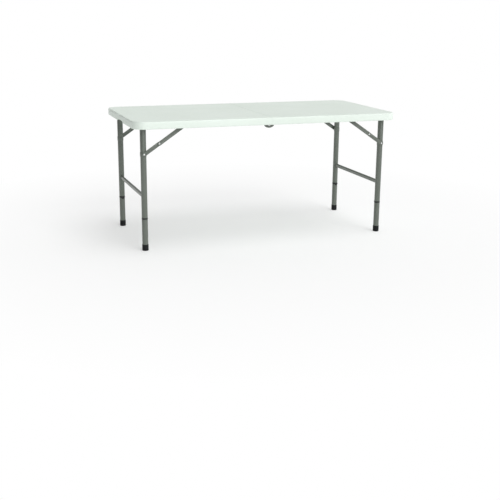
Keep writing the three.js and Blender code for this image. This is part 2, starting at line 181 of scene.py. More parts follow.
# %% Frame paint
def frame_paint_finish():
    material, tree, shader = new_material("frame_paint")
    links = {"Vector": object_coords(tree), "Scale": 560.0, "Smoothness": 0.8}
    cells = add_node(tree, "TexVoronoi", links, feature="SMOOTH_F1").outputs["Distance"]
    valley = ramp(tree, cells, 0.25, 0.75, 0.0, 1.0)
    colour = blend_colours(tree, valley, (0.140, 0.158, 0.136), (0.115, 0.131, 0.113))
    tree.links.new(colour, shader.inputs["Base Color"])
    sheen = ramp(tree, noise(tree, 60.0, 4.0), 0.35, 0.65, 0.34, 0.46)
    tree.links.new(sheen, shader.inputs["Roughness"])
    shader.inputs["Metallic"].default_value = 0.35
    shader.inputs["Coat Weight"].default_value = 0.25
    shader.inputs["Coat Roughness"].default_value = 0.22
    bump(tree, shader, cells, 0.28, 0.0004)
    return material


FRAME_PAINT = frame_paint_finish()
print(FRAME_PAINT.name)

# %% [markdown]
# ## Small finishes
# The small parts need three finishes: black nylon for caps, bushes and clips, softer and duller
# rubber for the feet, and bright zinc for rivets, screws and pins. Nylon and rubber are almost the
# same colour. They differ in roughness and in the size of their grain.

# %% Black nylon, foot rubber and zinc
def black_plastic_finish():
    material, tree, shader = new_material("black_plastic")
    shade = ramp(tree, noise(tree, 90.0, 4.0), 0.3, 0.7, 0.0, 1.0)
    colour = blend_colours(tree, shade, (0.006, 0.007, 0.008), (0.013, 0.014, 0.015))
    tree.links.new(colour, shader.inputs["Base Color"])
    tree.links.new(ramp(tree, noise(tree, 140.0), 0.3, 0.7, 0.36, 0.5), shader.inputs["Roughness"])
    shader.inputs["Specular IOR Level"].default_value = 0.35
    bump(tree, shader, noise(tree, 1500.0, 2.0), 0.2, 0.0003)
    return material


def foot_rubber_finish():
    material, tree, shader = new_material("foot_rubber")
    wear = ramp(tree, noise(tree, 45.0, 6.0, 0.7), 0.45, 0.75, 0.0, 1.0)
    colour = blend_colours(tree, wear, (0.004, 0.005, 0.006), (0.012, 0.013, 0.013))
    tree.links.new(colour, shader.inputs["Base Color"])
    tree.links.new(ramp(tree, wear, 0.0, 1.0, 0.62, 0.82), shader.inputs["Roughness"])
    shader.inputs["Specular IOR Level"].default_value = 0.3
    bump(tree, shader, noise(tree, 900.0, 3.0), 0.35, 0.0005)
    return material


def rivet_steel_finish():
    material, tree, shader = new_material("rivet_steel")
    cloud = ramp(tree, noise(tree, 220.0, 5.0, 0.6), 0.3, 0.7, 0.0, 1.0)
    colour = blend_colours(tree, cloud, (0.52, 0.53, 0.53), (0.68, 0.69, 0.68))
    tree.links.new(colour, shader.inputs["Base Color"])
    tree.links.new(ramp(tree, cloud, 0.0, 1.0, 0.24, 0.4), shader.inputs["Roughness"])
    shader.inputs["Metallic"].default_value = 1.0
    bump(tree, shader, noise(tree, 1200.0, 2.0), 0.1, 0.0002)
    return material


BLACK_PLASTIC = black_plastic_finish()
FOOT_RUBBER = foot_rubber_finish()
RIVET_STEEL = rivet_steel_finish()
print(BLACK_PLASTIC.name, FOOT_RUBBER.name, RIVET_STEEL.name)

# %% [markdown]
# ## Webbing
# Webbing is a flat weave of thick yarns. Its pattern has to follow the strap round its bends, so it
# uses the UV map that the strap's own mesh code lays down: U runs across the band and V along it,
# both in metres. Two waves at right angles, one for the warp and one for the weft, make the rows
# of small bumps.

# %% Webbing
WARP_STEP = 0.0016
WEFT_STEP = 0.0026


def wave(tree, length, step):
    """A sine wave along one direction of the UV map, one turn to each step."""
    phase = add_node(tree, "Math", {0: length, 1: tau / step}, operation="MULTIPLY")
    return add_node(tree, "Math", {0: phase.outputs[0]}, operation="SINE").outputs[0]


def webbing_finish():
    material, tree, shader = new_material("webbing")
    where = add_node(tree, "TexCoord").outputs["UV"]
    parts = add_node(tree, "SeparateXYZ", {"Vector": where})
    warp = wave(tree, parts.outputs["X"], WARP_STEP)
    weft = wave(tree, parts.outputs["Y"], WEFT_STEP)
    weave = add_node(tree, "Math", {0: warp, 1: weft}, operation="MULTIPLY")
    height = ramp(tree, weave.outputs[0], -1.0, 1.0, 0.0, 1.0)
    colour = blend_colours(tree, height, (0.006, 0.007, 0.008), (0.022, 0.024, 0.026))
    tree.links.new(colour, shader.inputs["Base Color"])
    shader.inputs["Roughness"].default_value = 0.85
    shader.inputs["Sheen Weight"].default_value = 0.3
    bump(tree, shader, height, 0.6, 0.0005)
    bump(tree, shader, noise(tree, 2500.0, 2.0), 0.2, 0.0002)
    return material


WEBBING = webbing_finish()
print(WEBBING.name)

# %% [markdown]
# ## Mesh helpers
# Almost every part of this table is a skin drawn through a row of loops: circles for a tube,
# rounded outlines for a plate, one outline at several heights for the top. The helper joins
# loops that all have the same number of points with quads, and closes the ends with one flat face
# each. Edges sharper than 35 degrees stay crisp and the rest shade smoothly.

# %% Skin through loops
SHARP = radians(35)


def mesh_object(name, points, faces):
    mesh = bpy.data.meshes.new(name)
    mesh.from_pydata([tuple(p) for p in points], [], [tuple(f) for f in faces])
    solid = bmesh.new()
    solid.from_mesh(mesh)
    bmesh.ops.recalc_face_normals(solid, faces=solid.faces)
    solid.to_mesh(mesh)
    solid.free()
    mesh.shade_smooth()
    mesh.set_sharp_from_angle(angle=SHARP)
    piece = bpy.data.objects.new(name, mesh)
    bpy.context.collection.objects.link(piece)
    return piece


def skin(name, loops, ring=False):
    """Joins loops of equally many points. A ring joins the last loop to the first as well."""
    count = len(loops[0])
    points = [p for loop in loops for p in loop]
    faces = []
    for row in range(len(loops) if ring else len(loops) - 1):
        here, there = row * count, (row + 1) % len(loops) * count
        for i in range(count):
            j = (i + 1) % count
            faces.append((here + i, here + j, there + j, there + i))
    if not ring:
        faces.append(tuple(range(count)))
        faces.append(tuple(range(len(points) - count, len(points))))
    return mesh_object(name, points, faces)


print("skin helper ready")

# %% [markdown]
# A sharp corner is rare on a real part. One helper eases the corners of any outline with a small
# curve, one gives the points of an arc, and two more give the angles and the profile that every
# rounded head on this table shares.

# %% Outlines
def rounded(corners, radius, steps=4, closed=True):
    """The same outline with each corner eased into a small curve, which stays short of mid-side."""
    result = []
    last = len(corners) - 1
    for i, corner in enumerate(corners):
        if not closed and i in (0, last):
            result.append(tuple(corner))
            continue
        here = Vector(corner)
        before = Vector(corners[i - 1]) - here
        after = Vector(corners[(i + 1) % len(corners)]) - here
        reach = min(radius, 0.45 * before.length, 0.45 * after.length)
        first = here + before.normalized() * reach
        second = here + after.normalized() * reach
        for step in range(steps + 1):
            t = step / steps
            result.append(tuple((1 - t) ** 2 * first + 2 * t * (1 - t) * here + t * t * second))
    return result


def arc(centre_x, centre_z, radius, start, end, steps):
    points = []
    for step in range(steps + 1):
        angle = radians(start + (end - start) * step / steps)
        points.append((centre_x + radius * cos(angle), centre_z + radius * sin(angle)))
    return points


def quarter(steps):
    """Equally spaced angles from 0 to 90 degrees."""
    return [radians(90 * step / steps) for step in range(steps + 1)]


def dome(radius, low, high, steps=6):
    """Profile of a rounded head, from just above its rim at low to its middle at high."""
    points = [(radius * cos(a), low + (high - low) * sin(a)) for a in quarter(steps)[1:-1]]
    return points + [(0, high)]


print("outline helpers ready")

# %% [markdown]
# Tubes, caps, pins and screws are round, so they are turned: a profile of radius and height is spun
# round one axis. A profile point on the axis needs no loop, because the flat end face closes the
# shape there.

# %% Turned shapes
def turned(name, profile, axis, centre, sides=64):
    """Spins (radius, height) points round an axis. An outline off the axis gives a ring."""
    order = {"x": (1, 2, 0), "y": (2, 0, 1), "z": (0, 1, 2)}[axis]
    hollow = profile[0][0] > 0
    loops = []
    for radius, height in profile:
        if radius > 0:
            loop = []
            for i in range(sides):
                spot = [0.0, 0.0, 0.0]
                spot[order[0]] = radius * cos(tau * i / sides)
                spot[order[1]] = radius * sin(tau * i / sides)
                spot[order[2]] = height
                loop.append(Vector(spot) + Vector(centre))
            loops.append(loop)
    return skin(name, loops, ring=hollow)


print("turning helper ready")

# %% [markdown]
# Besides its shape each piece needs a finish, the body that it moves with, and the names of the
# plain parts that it stands in for. One helper states all three. A second one measures a part.

# %% Placing a piece
def place(piece, body, material, *nodes):
    """Gives a piece its finish, the body it moves with and the plain parts it stands for."""
    piece.data.materials.clear()
    piece.data.materials.append(material)
    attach(piece, body)
    if nodes:
        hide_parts(*nodes)
    return piece


def middle_and_size(node):
    low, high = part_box(node)
    return (low + high) / 2, high - low


print("placing helpers ready")

# %% [markdown]
# Some shapes are easier to cut than to draw: hundreds of pits, a finger recess, a slot in a screw
# head. The Boolean modifier does this. Its manifold solver is fast and exact on closed meshes, and
# its result is baked into the mesh at once so that no cutter is left in the scene.

# %% Cutting and joining
def bake_modifiers(piece):
    evaluated = piece.evaluated_get(bpy.context.evaluated_depsgraph_get())
    mesh = bpy.data.meshes.new_from_object(evaluated)
    piece.modifiers.clear()
    old, piece.data = piece.data, mesh
    bpy.data.meshes.remove(old)


def combine(piece, tool, operation):
    change = piece.modifiers.new("combine", "BOOLEAN")
    change.operation = operation
    change.solver = "MANIFOLD"
    change.object = tool
    bake_modifiers(piece)
    bpy.data.objects.remove(tool)
    piece.data.set_sharp_from_angle(angle=SHARP)
    return piece


def merge(name, pieces):
    """Puts several separate closed meshes into one object."""
    points, faces = [], []
    for piece in pieces:
        start = len(points)
        points += [piece.matrix_world @ v.co for v in piece.data.vertices]
        faces += [[start + i for i in face.vertices] for face in piece.data.polygons]
    for piece in pieces:
        bpy.data.objects.remove(piece)
    return mesh_object(name, points, faces)


def box_piece(name, low, high):
    x0, y0, z0 = low
    x1, y1, z1 = high
    floor = [(x0, y0), (x1, y0), (x1, y1), (x0, y1)]
    return skin(name, [[(x, y, z) for x, y in floor] for z in (z0, z1)])


def bevel(piece, width, steps=2):
    """Eases every sharp edge of a plate."""
    change = piece.modifiers.new("eased edges", "BEVEL")
    change.width = width
    change.segments = steps
    change.limit_method = "ANGLE"
    change.angle_limit = SHARP
    bake_modifiers(piece)
    piece.data.shade_smooth()
    piece.data.set_sharp_from_angle(angle=SHARP)
    return piece


print("boolean and bevel helpers ready")

# %% [markdown]
# ## The half tops
# Each half is one hollow moulding, a shallow tray turned upside down: a flat plate with a rim on
# three sides and a low rib along the seam. The outline is drawn at many heights. Going out and
# down, the loops round the top edge, follow the outer wall with a little draft, turn under the
# rim, climb the inner wall and end on the underside of the plate. One extra loop just inside the
# rounding keeps the flat surface flat in the shading.

# %% Sizes of the moulding
RIM_WIDTH = 0.016
RIB_WIDTH = 0.0135
RIB_DEPTH = 0.0245
PLATE = 0.008
CORNER = 0.065
TRAY_CORNER = 0.038
TOP_ROUND = 0.008
RIM_ROUND = 0.005
INNER_ROUND = 0.0025
DRAFT = 0.0006
SUPPORT = 0.002
SEAM_EASE = 0.08
ARC_STEPS = 12
PAST = 0.002

top_low, top_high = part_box("tabletop_right")
TOP_Z, RIM_Z = top_high.z, top_low.z
SEAM_X, END_X, EDGE_Y = top_low.x, top_high.x, top_high.y
UNDER_Z = TOP_Z - PLATE
SIDES = (("left", -1), ("right", 1))
ROWS = (("front", -1), ("back", 1))
print("half top", round(END_X - SEAM_X, 4), "by", round(2 * EDGE_Y, 4), "m")
print("rim", round(TOP_Z - RIM_Z, 4), "m deep")


# %% Outline of a half
def half_outline(side, inset, corner, seam):
    """Square at the seam and round at the two outer corners, as X and Y."""
    end, edge = END_X - inset, EDGE_Y - inset
    points = [(seam, -edge)]
    for middle_y, start in ((-edge + corner, -90), (edge - corner, 0)):
        for step in range(ARC_STEPS + 1):
            angle = radians(start + 90 * step / ARC_STEPS)
            points.append((end - corner + corner * cos(angle), middle_y + corner * sin(angle)))
    points.append((seam, edge))
    return [(side * x, y) for x, y in points]


def tray_section():
    """Inset, height, corner radius and seam place of every loop, from the top inwards."""
    rows = [(TOP_ROUND + SUPPORT, TOP_Z, SEAM_X + SUPPORT)]
    for angle in quarter(6):
        inset = TOP_ROUND * (1 - sin(angle))
        rows.append((inset, TOP_Z - TOP_ROUND * (1 - cos(angle)), SEAM_X + SEAM_EASE * inset))
    for angle in quarter(6):
        inset = DRAFT + RIM_ROUND * (1 - cos(angle))
        rows.append((inset, RIM_Z + RIM_ROUND * (1 - sin(angle)), SEAM_X))
    outer = [(inset, z, CORNER - inset, seam) for inset, z, seam in rows]
    rib = SEAM_X + RIB_WIDTH
    inner = []
    for angle in quarter(4):
        inset = RIM_WIDTH - INNER_ROUND * (1 - sin(angle))
        inner.append((inset, RIM_Z + INNER_ROUND * (1 - cos(angle)), TRAY_CORNER, rib))
    for angle in quarter(4):
        inset = RIM_WIDTH + RIM_ROUND * (1 - cos(angle))
        z = UNDER_Z - RIM_ROUND * (1 - sin(angle))
        corner = TRAY_CORNER - RIM_ROUND * (1 - cos(angle))
        inner.append((inset, z, corner, rib + inset - RIM_WIDTH))
    return outer + inner


def blank_half(side):
    loops = []
    for inset, z, corner, seam in tray_section():
        loops.append([(x, y, z) for x, y in half_outline(side, inset, corner, seam)])
    return skin("half_top", loops)


print(len(tray_section()), "loops in each half")

# %% [markdown]
# The underside of such a top is covered with tack-off pits, where the mould pinches the two walls
# together to make the sheet stiff. They are short slots that turn by 90 degrees from one cell to
# the next, and more of them sit along the rim's lower edge. A cutter is drawn for the slot of each
# cell, the cutters are merged into one mesh, and that mesh is cut away in a single Boolean step.

# %% A cutter for one pit
CELL = 0.037
PIT_LENGTH = 0.022
PIT_WIDTH = 0.0068
PIT_DEPTH = 0.0065
PIT_SIDES = 14
PIT_FLARE = 0.001
PIT_TAPER = 0.002


def pit_cutter(x, y, z, length, width, depth, along_y):
    """A round-ended slot with a flared mouth, cut upwards from a face at height z."""
    rows = [(1.2 * PIT_FLARE, -PIT_FLARE), (PIT_FLARE, 0.0), (0.0, 1.2 * PIT_FLARE)]
    rows += [(-0.4 * PIT_TAPER, 0.75 * depth), (-PIT_TAPER, depth)]
    loops = []
    for grow, rise in rows:
        half, r = (length - width) / 2, width / 2 + grow
        loop = []
        for i in range(PIT_SIDES):
            angle = tau * (i + 0.5) / PIT_SIDES
            a = r * cos(angle) + (half if cos(angle) > 0 else -half)
            b = r * sin(angle)
            loop.append((x + b, y + a, z + rise) if along_y else (x + a, y + b, z + rise))
        loops.append(loop)
    return skin("pit", loops)


print("cell", CELL, "m, pit", PIT_LENGTH, "by", PIT_WIDTH, "m")

# %% [markdown]
# The pits lie on a square grid that is centred between the rim and the rib. A pit that would run
# into the rounded corner is left out. The rim's pits stand two cells apart, and they stay clear of
# the finger recess.

# %% Where the pits go
RIM_PIT_WIDTH = 0.0052
RIM_PIT_DEPTH = 0.010
RIM_PIT_SHIFT = 0.001
CORNER_KEEP = 1.6
RECESS_LENGTH = 0.165


def floor_pits(side):
    start = SEAM_X + RIB_WIDTH + RIM_ROUND
    end = END_X - RIM_WIDTH - RIM_ROUND
    edge = EDGE_Y - RIM_WIDTH - RIM_ROUND
    across = int((end - start) / CELL)
    along = int(2 * edge / CELL)
    first_x = (start + end - (across - 1) * CELL) / 2
    pits = []
    for i in range(across):
        for j in range(along):
            x, y = first_x + i * CELL, (j - (along - 1) / 2) * CELL
            corner = min(end - x, edge - abs(y))
            if corner > 0.6 * PIT_LENGTH or (end - x) + (edge - abs(y)) > CORNER_KEEP * CELL:
                args = (PIT_LENGTH, PIT_WIDTH, PIT_DEPTH, (i + j) % 2 == 0)
                pits.append(pit_cutter(side * x, y, UNDER_Z, *args))
    return pits


def rim_pits(side):
    size = (PIT_LENGTH, RIM_PIT_WIDTH, RIM_PIT_DEPTH)
    middle = RIM_WIDTH / 2 + RIM_PIT_SHIFT
    pits = []
    count = int((END_X - CORNER) / (2 * CELL))
    for i in range(count):
        x = side * (CELL + 2 * CELL * i)
        pits += [pit_cutter(x, y, RIM_Z, *size, False) for y in (-EDGE_Y + middle, EDGE_Y - middle)]
    for j in range(-4, 5):
        y = 2 * CELL * j
        if abs(y) > RECESS_LENGTH / 2 + PIT_LENGTH / 2:
            pits.append(pit_cutter(side * (END_X - middle), y, RIM_Z, *size, True))
    return pits


print("rim pits", 2 * CELL, "m apart")

# %% [markdown]
# The finger recess is a shallow arch in the end rim, a little wider at its mouth. The blank has a
# wall as deep as the rim at the seam too. The rib is what stays of that wall when its lower part is
# cut away.

# %% Recess and rib
RECESS_DEPTH = 0.011
RECESS_CORNER = 0.008
RECESS_FLARE = 0.004
RECESS_INWARDS = 0.03
RECESS_OUTWARDS = 0.01
RIB_PAST = 0.0005


def recess_cutter(side):
    wide = RECESS_LENGTH / 2 + RECESS_FLARE
    narrow = RECESS_LENGTH / 2 - RECESS_FLARE / 2
    low, high = RIM_Z - PAST, RIM_Z + RECESS_DEPTH
    outline = rounded([(-wide, low), (wide, low), (narrow, high), (-narrow, high)], RECESS_CORNER, 6)
    through = (END_X - RECESS_INWARDS, END_X + RECESS_OUTWARDS)
    return skin("recess", [[(side * x, y, z) for y, z in outline] for x in through])


def rib_cutter(side):
    edge = EDGE_Y - RIM_WIDTH
    near, far = SEAM_X - PAST, SEAM_X + RIB_WIDTH + RIB_PAST
    xs = sorted((side * near, side * far))
    return box_piece("under_rib", (xs[0], -edge, RIM_Z - PAST), (xs[1], edge, TOP_Z - RIB_DEPTH))


print("recess", RECESS_LENGTH, "by", RECESS_DEPTH, "m")

# %% [markdown]
# Now each half is built: the blank is skinned, then the room under the rib, the recess and the pits
# are cut out of it in turn. The same function makes both, because they are mirror images.

# %% Build both halves
def make_half(side_name, side):
    half = blank_half(side)
    combine(half, rib_cutter(side), "DIFFERENCE")
    combine(half, recess_cutter(side), "DIFFERENCE")
    pits = floor_pits(side) + rim_pits(side)
    count = len(pits)
    combine(half, merge("pits", pits), "DIFFERENCE")
    half.name = f"half_top_{side_name}"
    place(half, f"half_{side_name}", MOULDED_TOP, f"tabletop_{side_name}")
    print(half.name, "has", count, "pits and", len(half.data.polygons), "faces")


for side_name, side in SIDES:
    make_half(side_name, side)

# %% [markdown]
# ## Tubes
# A steel tube needs three things to look right from close by: enough sides to be round, a real
# wall at an open end, and a small easing on that end's edge, because cut tube is always deburred.
# The place and size of each one come from its part in the frame.

# %% Tube helper
WALL = 0.0012
EASE = 0.0005
AXES = "xyz"


def tube_between(name, radius, wall, axis, centre, length, sides=64):
    half = length / 2
    corners = [(radius - wall, -half), (radius, -half), (radius, half), (radius - wall, half)]
    return turned(name, rounded(corners, EASE, 2), axis, centre, sides)


def smooth_tube(node, axis, name):
    middle, size = middle_and_size(node)
    k = AXES.index(axis)
    radius = size[(k + 1) % 3] / 2
    tube = tube_between(name, radius, WALL, axis, middle, size[k])
    return place(tube, body_of[node], FRAME_PAINT, node)


for side_name, side in SIDES:
    smooth_tube(f"pivot_tube_{side_name}", "y", f"cross_tube_{side_name}")
    for row_name, row in ROWS:
        smooth_tube(f"rail_{row_name}_{side_name}", "x", f"side_rail_{row_name}_{side_name}")
smooth_tube("centre_tube", "y", "fold_line_tube")
print("7 straight tubes made")

# %% [markdown]
# ## Legs, coped to the cross tube
# The leg tube ends in a saddle that hugs the cross tube, and a weld bead runs along the joint. The
# saddle is made by lifting the points of the tube's top edge until each one lies on the cross
# tube's surface. The bead follows the same curve: a thin ring whose radius swells and shrinks a
# little, as hand-laid weld does.

# %% Saddle curve and weld bead
BEAD = 0.0017
BEAD_SIDES = 8
COPE_LEVEL = 0.3


def saddle_height(dx, radius, axis_z):
    """Height of a cross tube's underside at dx from its axis, levelled off near its sides."""
    return axis_z - sqrt(max(radius**2 - dx**2, (COPE_LEVEL * radius) ** 2))


def lumpy(size, phase, swell):
    """A bead's radius: an even ripple, and half as much again by chance."""
    return size * (1 + swell * sin(phase) + swell / 2 * random.uniform(-1, 1))


def bead_loop(centre, size, out, up):
    """A circle round a point of the bead, in the plane of the two directions."""
    angles = [tau * k / BEAD_SIDES for k in range(BEAD_SIDES)]
    return [Vector(centre) + size * (cos(a) * out + sin(a) * up) for a in angles]


def weld_bead(name, points, lumps):
    """A closed bead with a whole number of lumps."""
    loops = []
    count = len(points)
    for i, point in enumerate(points):
        ahead = Vector(points[(i + 1) % count]) - Vector(points[i - 1])
        out = ahead.cross(Vector((0, 0, 1))).normalized()
        up = out.cross(ahead).normalized()
        loops.append(bead_loop(point, lumpy(BEAD, lumps * tau * i / count, 0.16), out, up))
    return skin(name, loops, ring=True)


print("bead", BEAD, "m")

# %% [markdown]
# Each leg is a plain tube first. Then the points near its top are lifted, and the bead is laid along
# the curve where the two surfaces meet.

# %% Legs
LEG_LUMPS = 19
COPE_STEPS = 72
BEAD_SINK = 0.3 * BEAD


def coped_leg(side_name, row_name):
    node = f"leg_{row_name}_{side_name}"
    middle, size = middle_and_size(node)
    cross, cross_size = middle_and_size(f"pivot_tube_{side_name}")
    radius = size.x / 2
    leg = tube_between(f"main_leg_{row_name}_{side_name}", radius, WALL, "z", middle, size.z)
    top = middle.z + size.z / 2
    for vertex in leg.data.vertices:
        if vertex.co.z > top - 2 * EASE:
            below = top - vertex.co.z
            height = saddle_height(vertex.co.x - cross.x, cross_size.x / 2, cross.z)
            vertex.co.z = height - below
    place(leg, body_of[node], FRAME_PAINT, node)
    curve = []
    for i in range(COPE_STEPS):
        dx, dy = radius * cos(tau * i / COPE_STEPS), radius * sin(tau * i / COPE_STEPS)
        z = saddle_height(dx, cross_size.x / 2, cross.z)
        curve.append((middle.x + dx, middle.y + dy, z - BEAD_SINK))
    bead = weld_bead(f"leg_weld_{row_name}_{side_name}", curve, LEG_LUMPS)
    place(bead, body_of[node], FRAME_PAINT)


for side_name, side in SIDES:
    for row_name, row in ROWS:
        coped_leg(side_name, row_name)
print("4 legs and 4 weld beads made")

# %% [markdown]
# ## Crossbars
# A flat-sided oval tube ties the two legs of a frame together. In its upper side are two drilled
# holes for the lock tongues of the extension legs, which lie there when the table is shut. The oval
# is drawn as two half circles, and the tube is a ring of such ovals, first along the outside and then
# back along the inside. The holes are drilled with the Boolean modifier, as a real tube is drilled
# with a bit. Extra ovals close to each hole keep the long faces away from it, so that they still
# shade evenly.

# %% Oval and drill
OVAL_STEPS = 16
PARK_RADIUS = 0.004
PARK_COLLAR = 0.007
PARK_NEAR = 0.080
PARK_FAR = 0.197


def oval(width, height, shrink):
    """A stadium standing on end, as X and Z."""
    r = width / 2 - shrink
    lift = (height - width) / 2
    points = []
    for start, rise in ((0, lift), (180, -lift)):
        for step in range(OVAL_STEPS + 1):
            angle = radians(start + 180 * step / OVAL_STEPS)
            points.append((r * cos(angle), rise + r * sin(angle)))
    return points


def drill(x, y, low, high):
    bit = [(0, low), (PARK_RADIUS, low), (PARK_RADIUS, high), (0, high)]
    return turned("drill", bit, "z", (x, y, 0), 40)


print("holes at", PARK_NEAR, "and", PARK_FAR, "m")

# %% [markdown]
# The bead at each end of a crossbar goes round the oval and bulges with the round leg. Its points
# lie where the bar's surface meets the leg's.

# %% Crossbar welds
def crossbar_weld(name, centre, bar_size, leg_y, leg_radius, row):
    """The bead follows the oval round the bar and lies on the leg's round wall."""
    curve = []
    for x, z in oval(*bar_size, -0.2 * BEAD):
        y = row * (leg_y - sqrt(leg_radius**2 - min(abs(x), 0.9 * leg_radius) ** 2))
        curve.append((centre[0] + x, y, centre[1] + z))
    loops = []
    for i, point in enumerate(curve):
        out = Vector((point[0] - centre[0], 0, point[2] - centre[1])).normalized()
        loops.append(bead_loop(point, lumpy(BEAD, 2.4 * i, 0.2), out, Vector((0, 1, 0))))
    return skin(name, loops, ring=True)


print("crossbar bead ready")

# %% [markdown]
# The bar itself: the ovals, the two drilled holes and the two beads.

# %% Build the crossbars
INTO_LEG = 0.8


def crossbar(side_name, side):
    node = f"crossbar_{side_name}"
    low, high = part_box(node)
    leg, leg_size = middle_and_size(f"leg_front_{side_name}")
    width = high.x - low.x
    height = high.z - low.z
    centre_x, centre_z = (low.x + high.x) / 2, low.z + height / 2
    reach = abs(leg.y) - INTO_LEG * leg_size.x / 2
    holes = (side * PARK_NEAR, -side * PARK_FAR)
    stops = [-reach, *sorted(y + d for y in holes for d in (-PARK_COLLAR, PARK_COLLAR)), reach]
    loops = []
    for y, shrink in [(y, 0) for y in stops] + [(y, WALL) for y in reversed(stops)]:
        loops.append([(centre_x + x, y, centre_z + z) for x, z in oval(width, height, shrink)])
    bar = skin(f"oval_crossbar_{side_name}", loops, ring=True)
    for y in holes:
        combine(bar, drill(centre_x, y, centre_z, high.z + PAST), "DIFFERENCE")
    bar.name = f"oval_crossbar_{side_name}"
    place(bar, body_of[node], FRAME_PAINT, node)
    for row_name, row in ROWS:
        name = f"crossbar_weld_{row_name}_{side_name}"
        centre, bar_size = (centre_x, centre_z), (width, height)
        bead = crossbar_weld(name, centre, bar_size, abs(leg.y), leg_size.x / 2, row)
        place(bead, body_of[node], FRAME_PAINT)


for side_name, side in SIDES:
    crossbar(side_name, side)
print("2 crossbars, 4 drilled holes and 4 beads made")

# %% [markdown]
# ## Leg ends
# Four turned parts sit on each leg: a nylon sleeve inside the main leg's end, a thin lock collar with
# a thumb tongue on its inner side, the pull-off extension with a thinner spigot, and a ribbed foot
# cap. Each is one profile spun round the leg's axis. The profile runs up the outside and down the
# inside. Only the sleeve's lip and the collar with its tongue show, as a dark line round the leg.

# %% Sleeve and extension
FIT = 0.0003
SLEEVE_WALL = 0.0013
SLEEVE_LIP = 0.0012
SLEEVE_EASE = 0.0004


def bush(node, name, spigot_radius):
    middle, size = middle_and_size(node)
    r, low, high = size.x / 2, -size.z / 2, size.z / 2
    bore, seat = spigot_radius + FIT, r - WALL - FIT
    corners = [(bore, low), (r, low), (r, low + SLEEVE_LIP), (seat, low + SLEEVE_LIP),
               (seat, high), (bore, high)]
    part = turned(name, rounded(corners, SLEEVE_EASE, 3), "z", middle)
    place(part, body_of[node], BLACK_PLASTIC, node)


def extension(node, name, spigot_radius, shoulder_z):
    middle, size = middle_and_size(node)
    low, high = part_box(node)
    r = size.x / 2
    corners = [(spigot_radius - WALL, low.z), (r, low.z), (r, shoulder_z), (spigot_radius, shoulder_z),
               (spigot_radius, high.z), (spigot_radius - WALL, high.z)]
    part = turned(name, rounded(corners, 2 * EASE, 3), "z", (middle.x, middle.y, 0))
    place(part, body_of[node], FRAME_PAINT, node)


print("sleeve and extension ready")

# %% [markdown]
# The foot cap is solid below the tube and hollow above, with shallow ribs that grip. Its edge at the
# floor is rounded in a few steps, because it is what the eye meets first.

# %% Foot caps
FIRST_RIB = 0.007
RIB_COUNT = 5
RIB_STEP = 0.0046
FOOT_LIP = 0.0008
FOOT_FLOOR = 0.006


def foot_cap(node, name, bore_radius):
    middle, size = middle_and_size(node)
    r, top = size.x / 2, size.z
    profile = [(0, 0), (r - 0.003, 0), (r - 0.0012, 0.0008), (r - 0.0002, 0.0026), (r, 0.005)]
    for i in range(RIB_COUNT):
        z = FIRST_RIB + i * RIB_STEP
        profile += [(r, z), (r - FOOT_LIP, z + 0.0006), (r - FOOT_LIP, z + 0.0016), (r, z + 0.0022)]
    profile += [(r, top - 0.004), (r - 0.0002, top - 0.0012), (r - 0.0007, top)]
    profile += [(bore_radius, top), (bore_radius, FOOT_FLOOR), (0, FOOT_FLOOR)]
    part = turned(name, profile, "z", (middle.x, middle.y, 0))
    place(part, body_of[node], FOOT_RUBBER, node)


print("foot cap with", RIB_COUNT, "ribs")

# %% [markdown]
# The collar is a thin ring. The tongue that a thumb presses is a flat plate with a narrow lower end,
# so it is an outline given thickness. A small bridge joins the two, and all three become one closed
# mesh by union.

# %% Lock collars
COLLAR_HEIGHT = 0.0064
COLLAR_LIP = 0.0008
COLLAR_EASE = 0.0008
TONGUE_WIDTH = 0.021
TONGUE_TIP = 0.006
TONGUE = 0.0034
TONGUE_CORNER = 0.0012
TONGUE_EASE = 0.0007
BRIDGE_INSET = 0.0002


def lock_collar(node, name, row, spigot_radius):
    low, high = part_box(node)
    leg, size = middle_and_size(node.replace("lock_collar", "leg"))
    x, y, r = leg.x, leg.y, size.x / 2
    seat = high.z - COLLAR_HEIGHT
    outer, inner = r + COLLAR_LIP, spigot_radius + FIT
    corners = [(inner, seat), (outer, seat), (outer, high.z), (inner, high.z)]
    ring = turned("ring", rounded(corners, COLLAR_EASE, 3), "z", (x, y, 0))
    wide, tip = TONGUE_WIDTH / 2, TONGUE_TIP / 2
    face = [(-wide, high.z), (-wide, seat), (-tip, low.z), (tip, low.z), (wide, seat), (wide, high.z)]
    face = rounded([(x + a, z) for a, z in face], TONGUE_CORNER, 4)
    near = y - row * (r + 2 * FIT)
    tongue = skin("tongue", [[(a, b, z) for a, z in face] for b in (near, near - row * TONGUE)])
    bevel(tongue, TONGUE_EASE)
    ys = sorted((y - row * (r + inner) / 2, near - row * TONGUE / 2))
    start = (x - TONGUE_TIP, ys[0], seat + BRIDGE_INSET)
    bridge = box_piece("bridge", start, (x + TONGUE_TIP, ys[1], high.z - BRIDGE_INSET))
    part = combine(combine(ring, bridge, "UNION"), tongue, "UNION")
    part.name = name
    place(part, body_of[node], BLACK_PLASTIC, node)


print("collar", COLLAR_HEIGHT, "m high")

# %% [markdown]
# All four legs get the same four parts. The spigot's radius and the shoulder's height follow from
# the leg and the sleeve.

